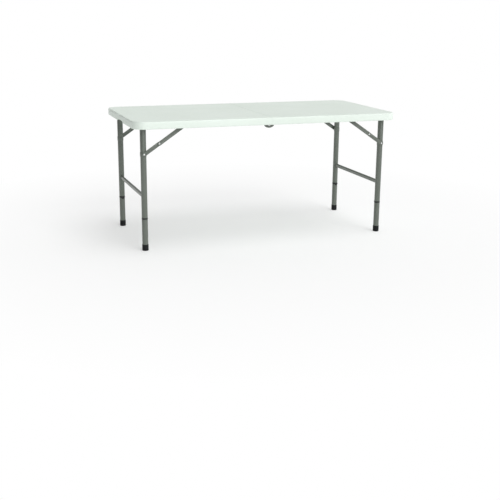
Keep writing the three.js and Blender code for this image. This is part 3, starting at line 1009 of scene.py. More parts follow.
# %% Fit the leg ends
for side_name, side in SIDES:
    for row_name, row in ROWS:
        spot = f"{row_name}_{side_name}"
        leg_radius = middle_and_size(f"leg_{spot}")[1].x / 2
        spigot = leg_radius - WALL - SLEEVE_WALL - 2 * FIT
        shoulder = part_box(f"leg_bush_{spot}")[0].z - COLLAR_HEIGHT - 2 * FIT
        bush(f"leg_bush_{spot}", f"end_bush_{spot}", spigot)
        extension(f"extension_leg_{spot}", f"pull_off_leg_{spot}", spigot, shoulder)
        foot_cap(f"foot_cap_{spot}", f"ribbed_foot_{spot}", leg_radius + FIT)
        lock_collar(f"lock_collar_{spot}", f"collar_lock_{spot}", row, spigot)
print("16 leg end parts made")

# %% [markdown]
# ## Rail ends
# An open tube end is sharp, so each rail is closed by a pushed-in nylon cap: a plug that goes inside
# the tube and a thin head with a slight dish in its face. Where the cross tube meets the rail, a
# nylon ring keeps steel from rubbing on steel when the legs turn.

# %% Rail caps and pivot rings
CAP_HEAD = 0.003
CAP_DISH = 0.0007
RING_RADIUS = 0.0156
RING_LENGTH = 0.0027


def rail_cap(side_name, side, row_name):
    node = f"rail_cap_{row_name}_{side_name}"
    middle, size = middle_and_size(node)
    r, plug = size.y / 2, size.y / 2 - WALL - EASE / 2
    depth = size.x - CAP_HEAD
    profile = [(0, -depth), (plug - 0.001, -depth), (plug, -depth + 0.001), (plug, 0), (r, 0)]
    profile += [(r, 0.0016), (r - 0.0005, 0.0025), (r - 0.0016, CAP_HEAD), (r - 0.0040, CAP_HEAD)]
    profile += [(r - 0.0050, CAP_HEAD - 0.0005), (0, CAP_HEAD - CAP_DISH)]
    face = middle.x + side * (size.x / 2 - CAP_HEAD)
    points = [(radius, side * height) for radius, height in profile]
    cap = turned(f"rail_end_cap_{row_name}_{side_name}", points, "x", (face, middle.y, middle.z))
    place(cap, body_of[node], BLACK_PLASTIC, node)


def pivot_ring(side_name, row_name, row):
    middle, size = middle_and_size(f"pivot_tube_{side_name}")
    rail, rail_size = middle_and_size(f"rail_{row_name}_{side_name}")
    end = abs(rail.y) - rail_size.y / 2
    inner, half = size.x / 2 + EASE / 2, RING_LENGTH / 2
    corners = [(inner, -half), (RING_RADIUS, -half), (RING_RADIUS, half), (inner, half)]
    centre = (middle.x, row * (end - half), middle.z)
    ring = turned(f"pivot_ring_{row_name}_{side_name}", rounded(corners, EASE, 2), "y", centre)
    place(ring, f"half_{side_name}", BLACK_PLASTIC)


for side_name, side in SIDES:
    for row_name, row in ROWS:
        rail_cap(side_name, side, row_name)
        pivot_ring(side_name, row_name, row)
print("4 caps and 4 rings made")

# %% [markdown]
# ## Hinge leaves and pins
# The middle hinge is pressed from 3 mm plate. Each leaf is one outline: a round eye on the fold line,
# an arm along the rail, and between them a lower edge that sweeps up as a quarter of an ellipse. The
# outline is drawn once, given thickness, and its sharp edges are eased with a bevel. The left leaves
# lie inside the right ones, so a spacer block fills the gap between each left arm and its rail. All
# arms are welded on, and a domed pin goes through both eyes into the tube on the fold line.

# %% Hinge leaf outline
LEAF = 0.003
HUB = 0.018
SKIRT = 0.032
LEAF_FOOT = 0.010
LEAF_CORNER = 0.005
PLATE_EASE = 0.0004


def plate_piece(name, outline, y_low, y_high):
    """A plate from an outline in X and Z."""
    plate = skin(name, [[(x, y, z) for x, z in outline] for y in (y_low, y_high)])
    return bevel(plate, PLATE_EASE)


def leaf_outline(side, low_z, high_z, end, hinge_z):
    drop = low_z - (hinge_z - HUB)
    eye = arc(0, hinge_z, HUB, 45, 270, 30)
    skirt = [(SKIRT * sin(a), low_z - drop * cos(a)) for a in quarter(16)[1:]]
    corners = [skirt[-1], (end, low_z), (end, high_z), (HUB + LEAF_FOOT, high_z), eye[0]]
    arm = rounded(corners, LEAF_CORNER, 5, closed=False)
    return [(side * x, z) for x, z in eye + skirt + arm[1:-1]]


print("leaf", LEAF, "m thick")

# %% [markdown]
# The arms and the spacers are welded to the rails with straight beads, one above and one below. A
# bead swells and shrinks along its length and tapers at both ends.

# %% Straight welds
WELD = 0.0016
WELD_STEP = 0.0012
WELD_LIFT = 0.0068
WELD_STAND = 0.0008
WELD_INSET = 0.002


def straight_bead(name, start, end):
    """A lumpy weld bead with tapered ends."""
    start, end = Vector(start), Vector(end)
    along = (end - start).normalized()
    across = along.orthogonal().normalized()
    up = along.cross(across)
    count = max(12, int((end - start).length / WELD_STEP))
    loops = []
    for i in range(count + 1):
        t = i / count
        taper = 0.25 + 0.75 * min(1, 8 * t, 8 * (1 - t))
        size = lumpy(WELD * taper, 2.2 * i, 0.1)
        loops.append(bead_loop(start.lerp(end, t), size, across, up))
    return skin(name, loops)


def weld_pair(name, spot, body, xs, y, rail_z):
    """Beads along the upper and the lower edge of what is welded to a rail."""
    for level, lift in (("upper", WELD_LIFT), ("lower", -WELD_LIFT)):
        z = rail_z + lift
        ends = (xs[0] + WELD_INSET, y, z), (xs[1] - WELD_INSET, y, z)
        place(straight_bead(f"{name}_{level}_{spot}", *ends), body, FRAME_PAINT)


print("straight beads ready")

# %% [markdown]
# A leaf is its plate, the spacer if it has one, and its two welds.

# %% Hinge leaves
LEAF_LIFT = 0.001
SPACER = 0.015
SPACER_INSET = 0.001


def hinge_leaf(side_name, side, row_name, row):
    spot = f"{row_name}_{side_name}"
    node = f"hinge_leaf_{spot}"
    low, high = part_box(node)
    hinge = middle_and_size("centre_tube")[0]
    end = max(abs(low.x), abs(high.x))
    inner = min(abs(low.y), abs(high.y))
    outer = max(abs(low.y), abs(high.y))
    arm_low = RIM_Z + LEAF_LIFT
    outline = leaf_outline(side, arm_low, high.z, end, hinge.z)
    ys = sorted((row * inner, row * (inner + LEAF)))
    leaf = plate_piece(f"hinge_plate_{spot}", outline, *ys)
    place(leaf, body_of[node], FRAME_PAINT, node)
    near = HUB + SPACER
    xs = sorted((side * near, side * (end - SPACER_INSET)))
    if outer - inner > 1.5 * LEAF:
        ys = sorted((row * (inner + LEAF), row * outer))
        zs = (arm_low + SPACER_INSET, high.z - SPACER_INSET)
        block = box_piece(f"hinge_spacer_{spot}", (xs[0], ys[0], zs[0]), (xs[1], ys[1], zs[1]))
        place(bevel(block, PLATE_EASE), body_of[node], FRAME_PAINT)
    rail = middle_and_size(f"rail_{spot}")[0]
    weld_pair("hinge_weld", spot, body_of[node], xs, row * (outer + WELD_STAND), rail.z)


print("leaf helper ready")

# %% [markdown]
# The pin has a plain shank and a low domed head. It is one turned profile, from the inner end of the
# shank to the middle of the head.

# %% Hinge pins
PIN_SHANK = 0.004
PIN_HEAD = 0.0025
PIN_RIM = 0.0008
PIN_EASE = 0.0003


def hinge_pin(row_name, row):
    node = f"hinge_pin_{row_name}"
    low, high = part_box(node)
    middle, size = middle_and_size(node)
    first, last = min(abs(low.y), abs(high.y)), max(abs(low.y), abs(high.y))
    head, seat = size.x / 2, last - PIN_HEAD
    profile = [(0, first), (PIN_SHANK - EASE, first), (PIN_SHANK, first + EASE), (PIN_SHANK, seat)]
    profile += [(head - PIN_EASE, seat), (head, seat + PIN_EASE), (head, seat + PIN_RIM)]
    profile += dome(head, seat + PIN_RIM, last)
    points = [(radius, row * height) for radius, height in profile]
    pin = turned(f"domed_pin_{row_name}", points, "y", (middle.x, 0, middle.z), 48)
    place(pin, body_of[node], RIVET_STEEL, node)


for row_name, row in ROWS:
    hinge_pin(row_name, row)
    for side_name, side in SIDES:
        hinge_leaf(side_name, side, row_name, row)
print("4 leaves, 2 spacers, 8 welds and 2 pins made")

# %% [markdown]
# ## Folding braces
# Two flat links make each brace. A link is a strip with round ends and a shallow groove pressed
# along its middle, which keeps thin steel from bending. All its loops are the same stadium shape at
# different insets, so the groove is only three more loops. Rivets with domed heads join the links to
# each other and to the band on the leg, and a washer keeps the two links apart at the knee.

# %% Pressed links
GROOVE = 0.0007
GROOVE_INSET = 0.0048
GROOVE_END = 0.014
GROOVE_WALL = ((0, 0, 0), (0.0006, 0.0005, 0.3), (0.0015, 0.0015, 1))
LINK = 0.0025
LINK_RADIUS = 0.0112
END_STEPS = 14


def stadium(start, end, radius):
    """Round-ended strip between two (x, z) points."""
    angle = atan2(end[1] - start[1], end[0] - start[0])
    points = []
    for centre, turn in ((start, pi / 2), (end, -pi / 2)):
        for step in range(END_STEPS + 1):
            a = angle + turn + pi * step / END_STEPS
            points.append((centre[0] + radius * cos(a), centre[1] + radius * sin(a)))
    return points


def pressed_link(name, start, end, radius, y_back, y_face):
    """y_face is the side with the groove. GROOVE_WALL has inset, shortening and share of depth."""
    out = 1 if y_face > y_back else -1
    start, end = Vector(start), Vector(end)
    along = (end - start).normalized()
    rows = [(EASE, 0, y_back), (EASE / 3, 0, y_back + out * EASE / 3), (0, 0, y_back + out * EASE)]
    rows += [(0, 0, y_face - out * EASE), (EASE / 3, 0, y_face - out * EASE / 3), (EASE, 0, y_face)]
    for inset, shorten, share in GROOVE_WALL:
        y = y_face - out * share * GROOVE
        rows.append((GROOVE_INSET + inset, GROOVE_END + shorten, y))
    loops = []
    for inset, shorten, y in rows:
        outline = stadium(start + shorten * along, end - shorten * along, radius - inset)
        loops.append([(x, y, z) for x, z in outline])
    return skin(name, loops)


print("link", 2 * LINK_RADIUS, "m wide")

# %% [markdown]
# Only the heads of the rivets show, so only the heads are drawn. Each starts a little inside the
# plate that it holds, so that no gap can show.

# %% Rivet heads
RIVET = 0.005
RIVET_HEAD = 0.0014
RIVET_SINK = 0.0005
RIVET_RIM = 0.0003


def rivet_head(name, x, z, y, out, body):
    """A domed head on a face at y, pointing to out."""
    profile = [(0, -RIVET_SINK), (RIVET, -RIVET_SINK), (RIVET, RIVET_RIM)]
    profile += dome(RIVET, RIVET_RIM, RIVET_HEAD)
    points = [(radius, out * height) for radius, height in profile]
    place(turned(name, points, "y", (x, y, z), 40), body, RIVET_STEEL)


print("rivet head", 2 * RIVET, "m wide")

# %% [markdown]
# A brace runs from the band on the leg through the knee to the stud on the rail. The two ends and
# the knee are read from the boxes of the two plain links, since each round end touches the sides of
# its box.

# %% Braces
WASHER_SPACE = 0.0021
WASHER = 0.007


def brace(side_name, side, row_name, row):
    spot = f"{row_name}_{side_name}"
    lower, upper = f"brace_lower_{spot}", f"brace_upper_{spot}"
    low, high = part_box(lower)
    low2, high2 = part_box(upper)
    radius = LINK_RADIUS
    outer_x = high.x if side > 0 else low.x
    inner_x = low.x if side > 0 else high.x
    far_x = low2.x if side > 0 else high2.x
    foot = (outer_x - side * radius, low.z + radius)
    knee = (inner_x + side * radius, high.z - radius)
    head = (far_x + side * radius, high2.z - radius)
    y_in = min(abs(low.y), abs(high.y))
    y_out = y_in + LINK
    u_in = y_out + WASHER_SPACE
    u_out = u_in + LINK
    gap = min(abs(low2.y), abs(high2.y))
    link = pressed_link(f"lower_link_{spot}", foot, knee, radius, row * y_out, row * y_in)
    place(link, body_of[lower], FRAME_PAINT, lower)
    link = pressed_link(f"upper_link_{spot}", knee, head, radius, row * u_in, row * u_out)
    place(link, body_of[upper], FRAME_PAINT, upper)
    end = u_in - EASE / 5
    profile = [(0, gap), (WASHER - EASE, gap), (WASHER, gap + EASE), (WASHER, end), (0, end)]
    points = [(distance, row * y) for distance, y in profile]
    washer = turned(f"knee_washer_{spot}", points, "y", (knee[0], 0, knee[1]), 40)
    place(washer, body_of[upper], RIVET_STEEL)
    rivet_head(f"foot_rivet_{spot}", *foot, row * y_out, row, body_of[lower])
    rivet_head(f"knee_rivet_outer_{spot}", *knee, row * u_out, row, body_of[upper])
    rivet_head(f"knee_rivet_inner_{spot}", *knee, row * y_in, -row, body_of[lower])


print("brace helper ready")

# %% [markdown]
# The lower link turns on a boss that stands on a band round the leg, and the upper link on a stud
# that is welded to the rail by a small pad.

# %% Bands and studs
BAND_WALL = 0.0012
BOSS = 0.008
PAD = 0.003
PAD_CORNER = 0.004


def leg_band(side_name, row_name, row):
    spot = f"{row_name}_{side_name}"
    node = f"leg_bracket_{spot}"
    low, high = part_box(node)
    middle, size = middle_and_size(node)
    leg = middle_and_size(f"leg_{spot}")[0]
    centre = (leg.x, leg.y, middle.z)
    band = tube_between(f"brace_band_{spot}", size.x / 2, BAND_WALL, "z", centre, size.z)
    place(band, body_of[node], FRAME_PAINT, node)
    face = max(abs(low.y), abs(high.y))
    start = abs(leg.y) + size.x / 2 - BAND_WALL
    profile = [(0, start), (BOSS, start), (BOSS, face - EASE), (BOSS - EASE, face), (0, face)]
    points = [(radius, row * height) for radius, height in profile]
    boss = turned(f"brace_boss_{spot}", points, "y", (leg.x, 0, middle.z), 40)
    place(boss, body_of[node], FRAME_PAINT)


def rail_stud(side_name, row_name, row):
    spot = f"{row_name}_{side_name}"
    node = f"rail_bracket_{spot}"
    low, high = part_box(node)
    middle = middle_and_size(node)[0]
    inner, outer = min(abs(low.y), abs(high.y)), max(abs(low.y), abs(high.y))
    seat = outer - PAD
    corners = [(low.x, low.z), (high.x, low.z), (high.x, high.z), (low.x, high.z)]
    outline = rounded(corners, PAD_CORNER, 5)
    pad = plate_piece(f"rail_pad_{spot}", outline, *sorted((row * seat, row * outer)))
    place(pad, body_of[node], FRAME_PAINT, node)
    profile = [(0, inner), (BOSS - EASE, inner), (BOSS, inner + EASE), (BOSS, seat), (0, seat)]
    points = [(radius, row * height) for radius, height in profile]
    stud = turned(f"rail_stud_{spot}", points, "y", (middle.x, 0, middle.z), 40)
    place(stud, body_of[node], FRAME_PAINT)
    y = row * (outer + WELD_STAND)
    weld_pair("pad_weld", spot, body_of[node], (low.x, high.x), y, middle.z)


for side_name, side in SIDES:
    for row_name, row in ROWS:
        brace(side_name, side, row_name, row)
        leg_band(side_name, row_name, row)
        rail_stud(side_name, row_name, row)
print("8 links, 4 washers, 12 rivet heads, 4 bands and 4 studs made")

# %% [markdown]
# ## Latch clips
# When the table is shut, two nylon clips on one cross tube snap over the other one. Each clip is an
# extruded shape: a closed ring, a web and an open jaw with rounded lips. The jaw's inside is part of
# the outline, so only the ring's bore has to be cut.

# %% Latch clips
CLIP_WALL = 0.003
JAW_OPENING = 60
WEB_ANGLE = 36.87
MOULD_EASE = 0.0006


def clip_outline(ring_x, jaw_x, z, outer, inner):
    """Ring, lower web, jaw with its two lips, upper web. Angles are taken from +X in degrees."""
    lip = (outer - inner) / 2
    reach = (outer + inner) / 2
    lip_x = jaw_x + reach * cos(radians(JAW_OPENING))
    rise = reach * sin(radians(JAW_OPENING))
    top_lip = arc(lip_x, z + rise, lip, JAW_OPENING - 180, JAW_OPENING, 8)
    low_lip = arc(lip_x, z - rise, lip, -JAW_OPENING, 180 - JAW_OPENING, 8)
    points = arc(ring_x, z, outer, WEB_ANGLE, 360 - WEB_ANGLE, 40)
    points += arc(jaw_x, z, outer, 180 + WEB_ANGLE, 360 - JAW_OPENING, 12)[:-1] + low_lip
    points += arc(jaw_x, z, inner, -JAW_OPENING, -360 + JAW_OPENING, 40)[1:-1] + top_lip
    points += arc(jaw_x, z, outer, JAW_OPENING, 180 - WEB_ANGLE, 12)[1:]
    return points


def latch_clip(row_name):
    node = f"latch_clip_{row_name}"
    low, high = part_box(node)
    cross, size = middle_and_size("pivot_tube_right")
    inner = size.x / 2 + FIT
    outer = inner + CLIP_WALL
    hinge_z = middle_and_size("centre_tube")[0].z
    jaw_x = cross.x + 2 * (cross.z - hinge_z)
    outline = clip_outline(cross.x, jaw_x, cross.z, outer, inner)
    clip = skin("clip", [[(x, y, z) for x, z in outline] for y in (low.y, high.y)])
    middle_y, half = (low.y + high.y) / 2, (high.y - low.y) / 2 + PAST
    bit = [(0, -half), (inner, -half), (inner, half), (0, half)]
    bore = turned("bore", bit, "y", (cross.x, middle_y, cross.z))
    clip = bevel(combine(clip, bore, "DIFFERENCE"), MOULD_EASE)
    clip.name = f"snap_clip_{row_name}"
    place(clip, body_of[node], BLACK_PLASTIC, node)


for row_name, row in ROWS:
    latch_clip(row_name)
print("2 clips made")

# %% [markdown]
# ## Screws and saddles
# The rails hang under the plate on short moulded saddles, and a pan-head screw goes up through each
# rail into one of them. A screw head is a turned dome with a cross cut into it by two thin blades.

# %% Rail screws and saddles
SCREW_HEAD = 0.0045
SCREW_RISE = 0.0020
SCREW_SINK = 0.0006
SCREW_RIM = 0.0004
SLOT_WIDTH = 0.0011
SCREW_SPOTS = (0.15, 0.48, 0.80)
SADDLE_HALF = (0.016, 0.011)
SADDLE_CORNER = 0.004
SADDLE_LOW = 0.004
INTO_PLATE = 0.0005


def screw(name, x, y, z, turn, body):
    profile = [(0, SCREW_SINK), (SCREW_HEAD, SCREW_SINK), (SCREW_HEAD, -SCREW_RIM)]
    profile += dome(SCREW_HEAD, -SCREW_RIM, -SCREW_RISE, 5)
    head = turned(name, profile, "z", (0, 0, 0), 40)
    long, wide = 0.5 * SCREW_HEAD, SLOT_WIDTH / 2
    for a, b in ((long, wide), (wide, long)):
        blade = box_piece("blade", (-a, -b, -2 * SCREW_RISE), (a, b, -0.3 * SCREW_RISE))
        combine(head, blade, "DIFFERENCE")
    head.data.transform(Matrix.Translation((x, y, z)) @ Matrix.Rotation(turn, 4, "Z"))
    head.name = name
    place(head, body, RIVET_STEEL)


def rail_saddle(name, x, y, low_z, body):
    long, wide = SADDLE_HALF
    corners = [(x - long, y - wide), (x + long, y - wide), (x + long, y + wide), (x - long, y + wide)]
    outline = rounded(corners, SADDLE_CORNER, 5)
    block = skin(name, [[(a, b, z) for a, b in outline] for z in (low_z, UNDER_Z + INTO_PLATE)])
    place(bevel(block, MOULD_EASE), body, MOULDED_TOP)


for side_name, side in SIDES:
    for row_name, row in ROWS:
        rail, rail_size = middle_and_size(f"rail_{row_name}_{side_name}")
        near = rail.x - side * rail_size.x / 2
        for number, share in enumerate(SCREW_SPOTS, 1):
            x = near + side * share * rail_size.x
            label, body = f"{row_name}_{side_name}_{number}", f"half_{side_name}"
            turn = random.uniform(0, pi)
            screw(f"rail_screw_{label}", x, rail.y, rail.z - rail_size.y / 2, turn, body)
            rail_saddle(f"rail_saddle_{label}", x, rail.y, rail.z + SADDLE_LOW, body)
print("12 screws and 12 saddles made")

# %% [markdown]
# ## Storage clips
# When the table is shut, its four extension legs lie between the rails, each held by two clips that
# are moulded with the top. A clip is a block with a round bed and two rising lips, open downwards
# so that a leg snaps in. It is one outline in Y and Z with a length along X.

# %% Storage clips
CLIP_SPOTS = (0.483, 0.620)
CLIP_LENGTH = 0.015
CLIP_HALF = 0.0212
BED_WALL = 0.0012
BED_PAST = 16
LIP_LEAN = 0.0012
LIP_DEPTH = 0.0015
LIP_FLARE = 0.0008


def storage_clip(name, x, y, bed_radius, body):
    """The bed is an arc that goes BED_PAST degrees past a half circle on each side."""
    bed_z = UNDER_Z - bed_radius - BED_WALL
    bed = arc(y, bed_z, bed_radius, 180 + BED_PAST, -BED_PAST, 28)
    lip_y, lip_z = bed[0][0] - LIP_FLARE, bed[0][1] - LIP_DEPTH
    left = [(y - CLIP_HALF, UNDER_Z + INTO_PLATE), (y - CLIP_HALF + LIP_LEAN, lip_z), (lip_y, lip_z)]
    right = [(2 * y - a, z) for a, z in reversed(left)]
    ends = (x - CLIP_LENGTH / 2, x + CLIP_LENGTH / 2)
    clip = skin(name, [[(end, a, z) for a, z in left + bed + right] for end in ends])
    place(bevel(clip, MOULD_EASE), body, MOULDED_TOP)


for side_name, side in SIDES:
    bed_radius = middle_and_size(f"extension_leg_front_{side_name}")[1].x / 2 + FIT
    for bed_name, y in (("near", side * PARK_NEAR), ("far", -side * PARK_FAR)):
        for number, x in enumerate(CLIP_SPOTS, 1):
            label = f"{bed_name}_{side_name}_{number}"
            storage_clip(f"storage_clip_{label}", side * x, y, bed_radius, f"half_{side_name}")
print("8 storage clips made")

# %% [markdown]
# ## Carry strap
# The strap is one length of webbing. Each end goes round the rail and is sewn to itself, and between
# the ends it hangs as a loop to hold. The arms lie flat against the rail at the top and turn by a
# quarter on the way down, so that the grip lies flat in the hand. A ribbon is drawn along a path: at
# every step there is a centre and the direction of the band's width, and the thickness follows at
# right angles to both.

# %% Ribbon helper
BAND_WIDTH = 0.025
BAND_THICK = 0.00115
BAND_HALF = BAND_THICK / 2


def band_section():
    """Half of the width and thickness for each point round the band's edge."""
    side = BAND_WIDTH / 2 - BAND_HALF
    points = arc(side, 0, BAND_HALF, -90, 90, 4)
    points += [(share * side, BAND_HALF) for share in (0.5, 0, -0.5)]
    points += [(-a, -b) for a, b in points]
    return points


def ribbon(name, centres, widths, closed=False):
    """Draws the band along a path and lays its UV map, U across the band and V along it."""
    centres = [Vector(c) for c in centres]
    section = band_section()
    count, loops, along = len(centres), [], [0.0]
    for i, centre in enumerate(centres):
        before = centres[i - 1] if (i or closed) else centre
        after = centres[(i + 1) % count] if (i < count - 1 or closed) else centre
        tangent = (after - before).normalized()
        wide = Vector(widths[i])
        wide = (wide - wide.dot(tangent) * tangent).normalized()
        thick = tangent.cross(wide)
        loops.append([centre + a * wide + b * thick for a, b in section])
        if i:
            along.append(along[-1] + (centre - centres[i - 1]).length)
    piece = skin(name, loops, ring=closed)
    layer = piece.data.uv_layers.new(name="weave")
    size = len(section)
    for face in piece.data.polygons:
        rows = {piece.data.loops[k].vertex_index // size for k in face.loop_indices}
        wraps = closed and rows == {0, count - 1}
        for k in face.loop_indices:
            row, spot = divmod(piece.data.loops[k].vertex_index, size)
            v = along[-1] + along[1] if wraps and row == 0 else along[row]
            layer.data[k].uv = (section[spot][0], v)
    return piece


print(len(band_section()), "points in the band's section")

# %% [markdown]
# The strap is one long ribbon: over the rail, down one arm, along the grip, up the other arm and
# over the rail again. Two short closed ribbons make the layer next to the rail, and one more
# doubles the grip. The twist in an arm eases in and out, as stiff cloth does.

# %% Path of one arm
WRAP_START = 70
WRAP_STEPS = 14
TWIST_START = 0.029
TWIST_END = 0.080
BEND = 0.016
BEND_STEPS = 8
ARM_STEPS = 26


def smooth_share(t):
    return t * t * (3 - 2 * t)


def arm_path(x, inward, rail, grip_z, layer_radius):
    """From the top of the rail down one arm, ending level with the grip."""
    centres, widths = [], []
    for y, z in arc(rail.y, rail.z, layer_radius, WRAP_START, 180, WRAP_STEPS):
        centres.append((x, y, z))
        widths.append((1, 0, 0))
    start_z, end_z = rail.z, grip_z + BEND
    for step in range(1, ARM_STEPS + 1):
        z = start_z + (end_z - start_z) * step / ARM_STEPS
        share = (rail.z - z - TWIST_START) / (TWIST_END - TWIST_START)
        turn = pi / 2 * smooth_share(min(1, max(0, share)))
        centres.append((x, rail.y - layer_radius, z))
        widths.append((cos(turn), -inward * sin(turn), 0))
    for angle in quarter(BEND_STEPS)[1:]:
        bend_x = x + inward * BEND * (1 - cos(angle))
        centres.append((bend_x, rail.y - layer_radius, end_z - BEND * sin(angle)))
        widths.append((0, -inward, 0))
    return centres, widths


print("arm in", ARM_STEPS, "steps")

# %% [markdown]
# The finished strap is built from its ribbons, and the places that the stitches need are kept.

# %% The strap
LOOP_STEPS = 48
GRIP_STEP = 0.002
GRIP_STEPS = 19


def strap():
    low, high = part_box("carry_strap")
    rail = middle_and_size("rail_back_left")[0]
    body = body_of["carry_strap"]
    inner = (high.z - rail.z) - 2 * BAND_THICK
    layer_radius = inner + 1.5 * BAND_THICK
    left, right = low.x + BAND_WIDTH / 2, high.x - BAND_WIDTH / 2
    grip_z = low.z + BAND_HALF
    first, first_wide = arm_path(left, 1, rail, grip_z, layer_radius)
    second, second_wide = arm_path(right, -1, rail, grip_z, layer_radius)
    second_wide = [(-a, -b, -c) for a, b, c in second_wide]
    long = ribbon("strap_web", first + second[::-1], first_wide + second_wide[::-1])
    place(long, body, WEBBING, "carry_strap")
    for name, x in (("left", left), ("right", right)):
        ring = arc(rail.y, rail.z, inner + BAND_HALF, 0, 360, LOOP_STEPS)[:-1]
        centres = [(x, y, z) for y, z in ring]
        loop = ribbon(f"strap_loop_{name}", centres, [(1, 0, 0)] * LOOP_STEPS, closed=True)
        place(loop, body, WEBBING)
    middle_x = (left + right) / 2
    y = rail.y - layer_radius
    steps = range(-GRIP_STEPS, GRIP_STEPS + 1)
    pad = [(middle_x + GRIP_STEP * i, y, grip_z + BAND_THICK) for i in steps]
    place(ribbon("strap_grip_pad", pad, [(0, 1, 0)] * len(pad)), body, WEBBING)
    return body, rail, left, right, middle_x, y, grip_z, layer_radius


strap_body, strap_rail, arm_left, arm_right, grip_x, grip_y, grip_z, wrap_radius = strap()
print("strap", round(arm_right - arm_left, 3), "m between its arms")

# %% [markdown]
# Sewing holds the strap together. Each stitch is a short, fat thread that rises from the cloth and
# dips back into it. The grip's double layer has a row of them across each end and one along each
# edge, and the base of each arm has a box.

# %% Stitch and seam
STITCH = 0.0030
THREAD = 0.00035
STITCH_GAP = 0.0012
STITCH_MARGIN = 0.15


def stitch(start, end, out):
    start, end, out = Vector(start), Vector(end), Vector(out)
    side = (end - start).cross(out).normalized()
    loops = []
    for i in range(7):
        t = i / 6
        centre = start.lerp(end, t) + THREAD * (1.3 * sin(pi * t) - 0.5) * out
        r = THREAD * (0.45 + 0.55 * sin(pi * t))
        angles = [tau * k / 6 for k in range(6)]
        loops.append([centre + r * (cos(a) * side + sin(a) * out) for a in angles])
    return skin("stitch", loops)


def seam(corners, out):
    """A row of stitches along an open or closed polygon."""
    stitches = []
    for start, end in zip(corners, corners[1:]):
        start, end = Vector(start), Vector(end)
        length = (end - start).length
        count = max(1, round(length / (STITCH + STITCH_GAP)))
        for i in range(count):
            a = (i + STITCH_MARGIN) / count
            b = (i + 1 - STITCH_MARGIN) / count
            stitches.append(stitch(start.lerp(end, a), start.lerp(end, b), out))
    return stitches


print("stitch", STITCH, "m long")

# %% [markdown]
# The seams: a long box on both faces of the grip, and a box with one diagonal on each arm.

# %% Sew the strap
SEAM_WIDE = 0.0095
SEAM_LONG = 0.034
BOX_TOP, BOX_LOW = 0.004, 0.026


def sew():
    stitches = []
    x0, x1 = grip_x - SEAM_LONG, grip_x + SEAM_LONG
    y0, y1 = grip_y - SEAM_WIDE, grip_y + SEAM_WIDE
    for out, z in ((1, grip_z + 1.5 * BAND_THICK), (-1, grip_z - BAND_HALF)):
        corners = [(x0, y0, z), (x1, y0, z), (x1, y1, z), (x0, y1, z), (x0, y0, z)]
        stitches += seam(corners, (0, 0, out))
    y = strap_rail.y - wrap_radius - BAND_HALF
    high, low = strap_rail.z - BOX_TOP, strap_rail.z - BOX_LOW
    for x in (arm_left, arm_right):
        x0, x1 = x - SEAM_WIDE, x + SEAM_WIDE
        box = [(x0, y, high), (x1, y, high), (x1, y, low), (x0, y, low), (x0, y, high)]
        cross = [(x0, y, high), (x1, y, low)]
        stitches += seam(box, (0, -1, 0)) + seam(cross, (0, -1, 0))
    count = len(stitches)
    place(merge("strap_stitches", stitches), strap_body, WEBBING)
    return count


print(sew(), "stitches sewn")

# %% [markdown]
# ## Floor and light
# The setting is a white studio. Close to the table the floor is white paper with a faint glow of
# its own, and it takes soft shadows. Further out it turns into plain white light, so that it meets
# the surround with no horizon. The floor belongs to the stage and not to the table.

# %% Studio floor
FLOOR_HALF = 60.0
FLOOR_THICK = 0.02
FADE_START, FADE_END = 0.7, 2.4
PAPER_GLOW = 0.35
PAPER = (0.955, 0.96, 0.96)


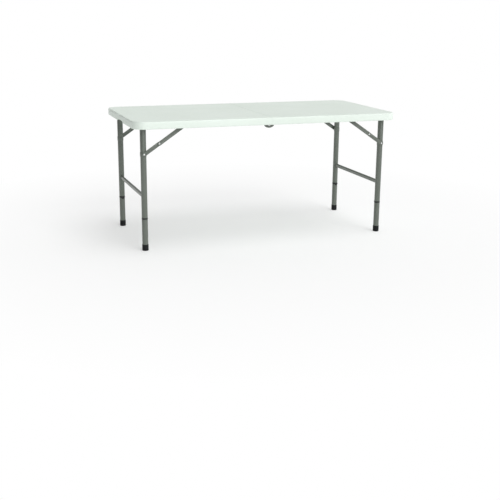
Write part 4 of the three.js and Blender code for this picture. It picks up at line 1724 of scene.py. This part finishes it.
def studio_floor():
    low, high = (-FLOOR_HALF, -FLOOR_HALF, -FLOOR_THICK), (FLOOR_HALF, FLOOR_HALF, 0.0)
    floor = box_piece("studio_floor", low, high)
    material, tree, shader = new_material("paper")
    shader.inputs["Base Color"].default_value = (*PAPER, 1)
    shader.inputs["Roughness"].default_value = 0.8
    shader.inputs["Specular IOR Level"].default_value = 0.1
    distance = add_node(tree, "VectorMath", {0: object_coords(tree)}, operation="LENGTH")
    fade = ramp(tree, distance.outputs["Value"], FADE_START, FADE_END, PAPER_GLOW, 1.0)
    glow = add_node(tree, "Emission", {"Color": (1, 1, 1, 1), "Strength": 1.0})
    mix = add_node(tree, "MixShader", {"Fac": fade})
    tree.links.new(shader.outputs["BSDF"], mix.inputs[1])
    tree.links.new(glow.outputs["Emission"], mix.inputs[2])
    tree.links.new(mix.outputs["Shader"], tree.nodes["Material Output"].inputs["Surface"])
    floor.data.materials.append(material)


studio_floor()
print("floor", 2 * FLOOR_HALF, "m wide")

# %% [markdown]
# The surround is white at eye level and dimmer overhead, most of all on the left. That leaves room
# for two very soft suns to give the top, the front and the end their different brightness. A sun
# has the same strength everywhere, so the floor has no bright spot under it.

# %% Surround and soft suns
OVERHEAD = 0.80
SIDE_FALL = 0.72
LEFT_DIM, RIGHT_DIM = -0.6, 0.3
RISE_LOW, RISE_HIGH = 0.02, 0.25
SUN_ANGLE = 38


def surround():
    world = bpy.data.worlds.new("white_surround")
    world.use_nodes = True
    tree = world.node_tree
    where = add_node(tree, "TexCoord").outputs["Generated"]
    parts = add_node(tree, "SeparateXYZ", {"Vector": where})
    side = ramp(tree, parts.outputs["X"], LEFT_DIM, RIGHT_DIM, OVERHEAD - SIDE_FALL, OVERHEAD)
    rise = ramp(tree, parts.outputs["Z"], RISE_LOW, RISE_HIGH, 1.0, side)
    back = tree.nodes["Background"]
    back.inputs["Color"].default_value = (1, 1, 1, 1)
    tree.links.new(rise, back.inputs["Strength"])
    bpy.context.scene.world = world


def soft_sun(name, towards_light, strength):
    """A very wide sun lights the whole floor evenly and casts soft shadows."""
    light = bpy.data.lights.new(name, "SUN")
    light.energy = strength
    light.angle = radians(SUN_ANGLE)
    lamp = bpy.data.objects.new(name, light)
    lamp.location = Vector(towards_light)
    lamp.rotation_euler = Vector(towards_light).to_track_quat("Z", "Y").to_euler()
    bpy.context.collection.objects.link(lamp)
    print(name, strength)


surround()
soft_sun("front_light", (0.9, -3.0, 1.7), 1.15)
soft_sun("top_light", (0.8, -0.6, 3.0), 0.85)
bpy.context.scene.view_settings.view_transform = "Standard"
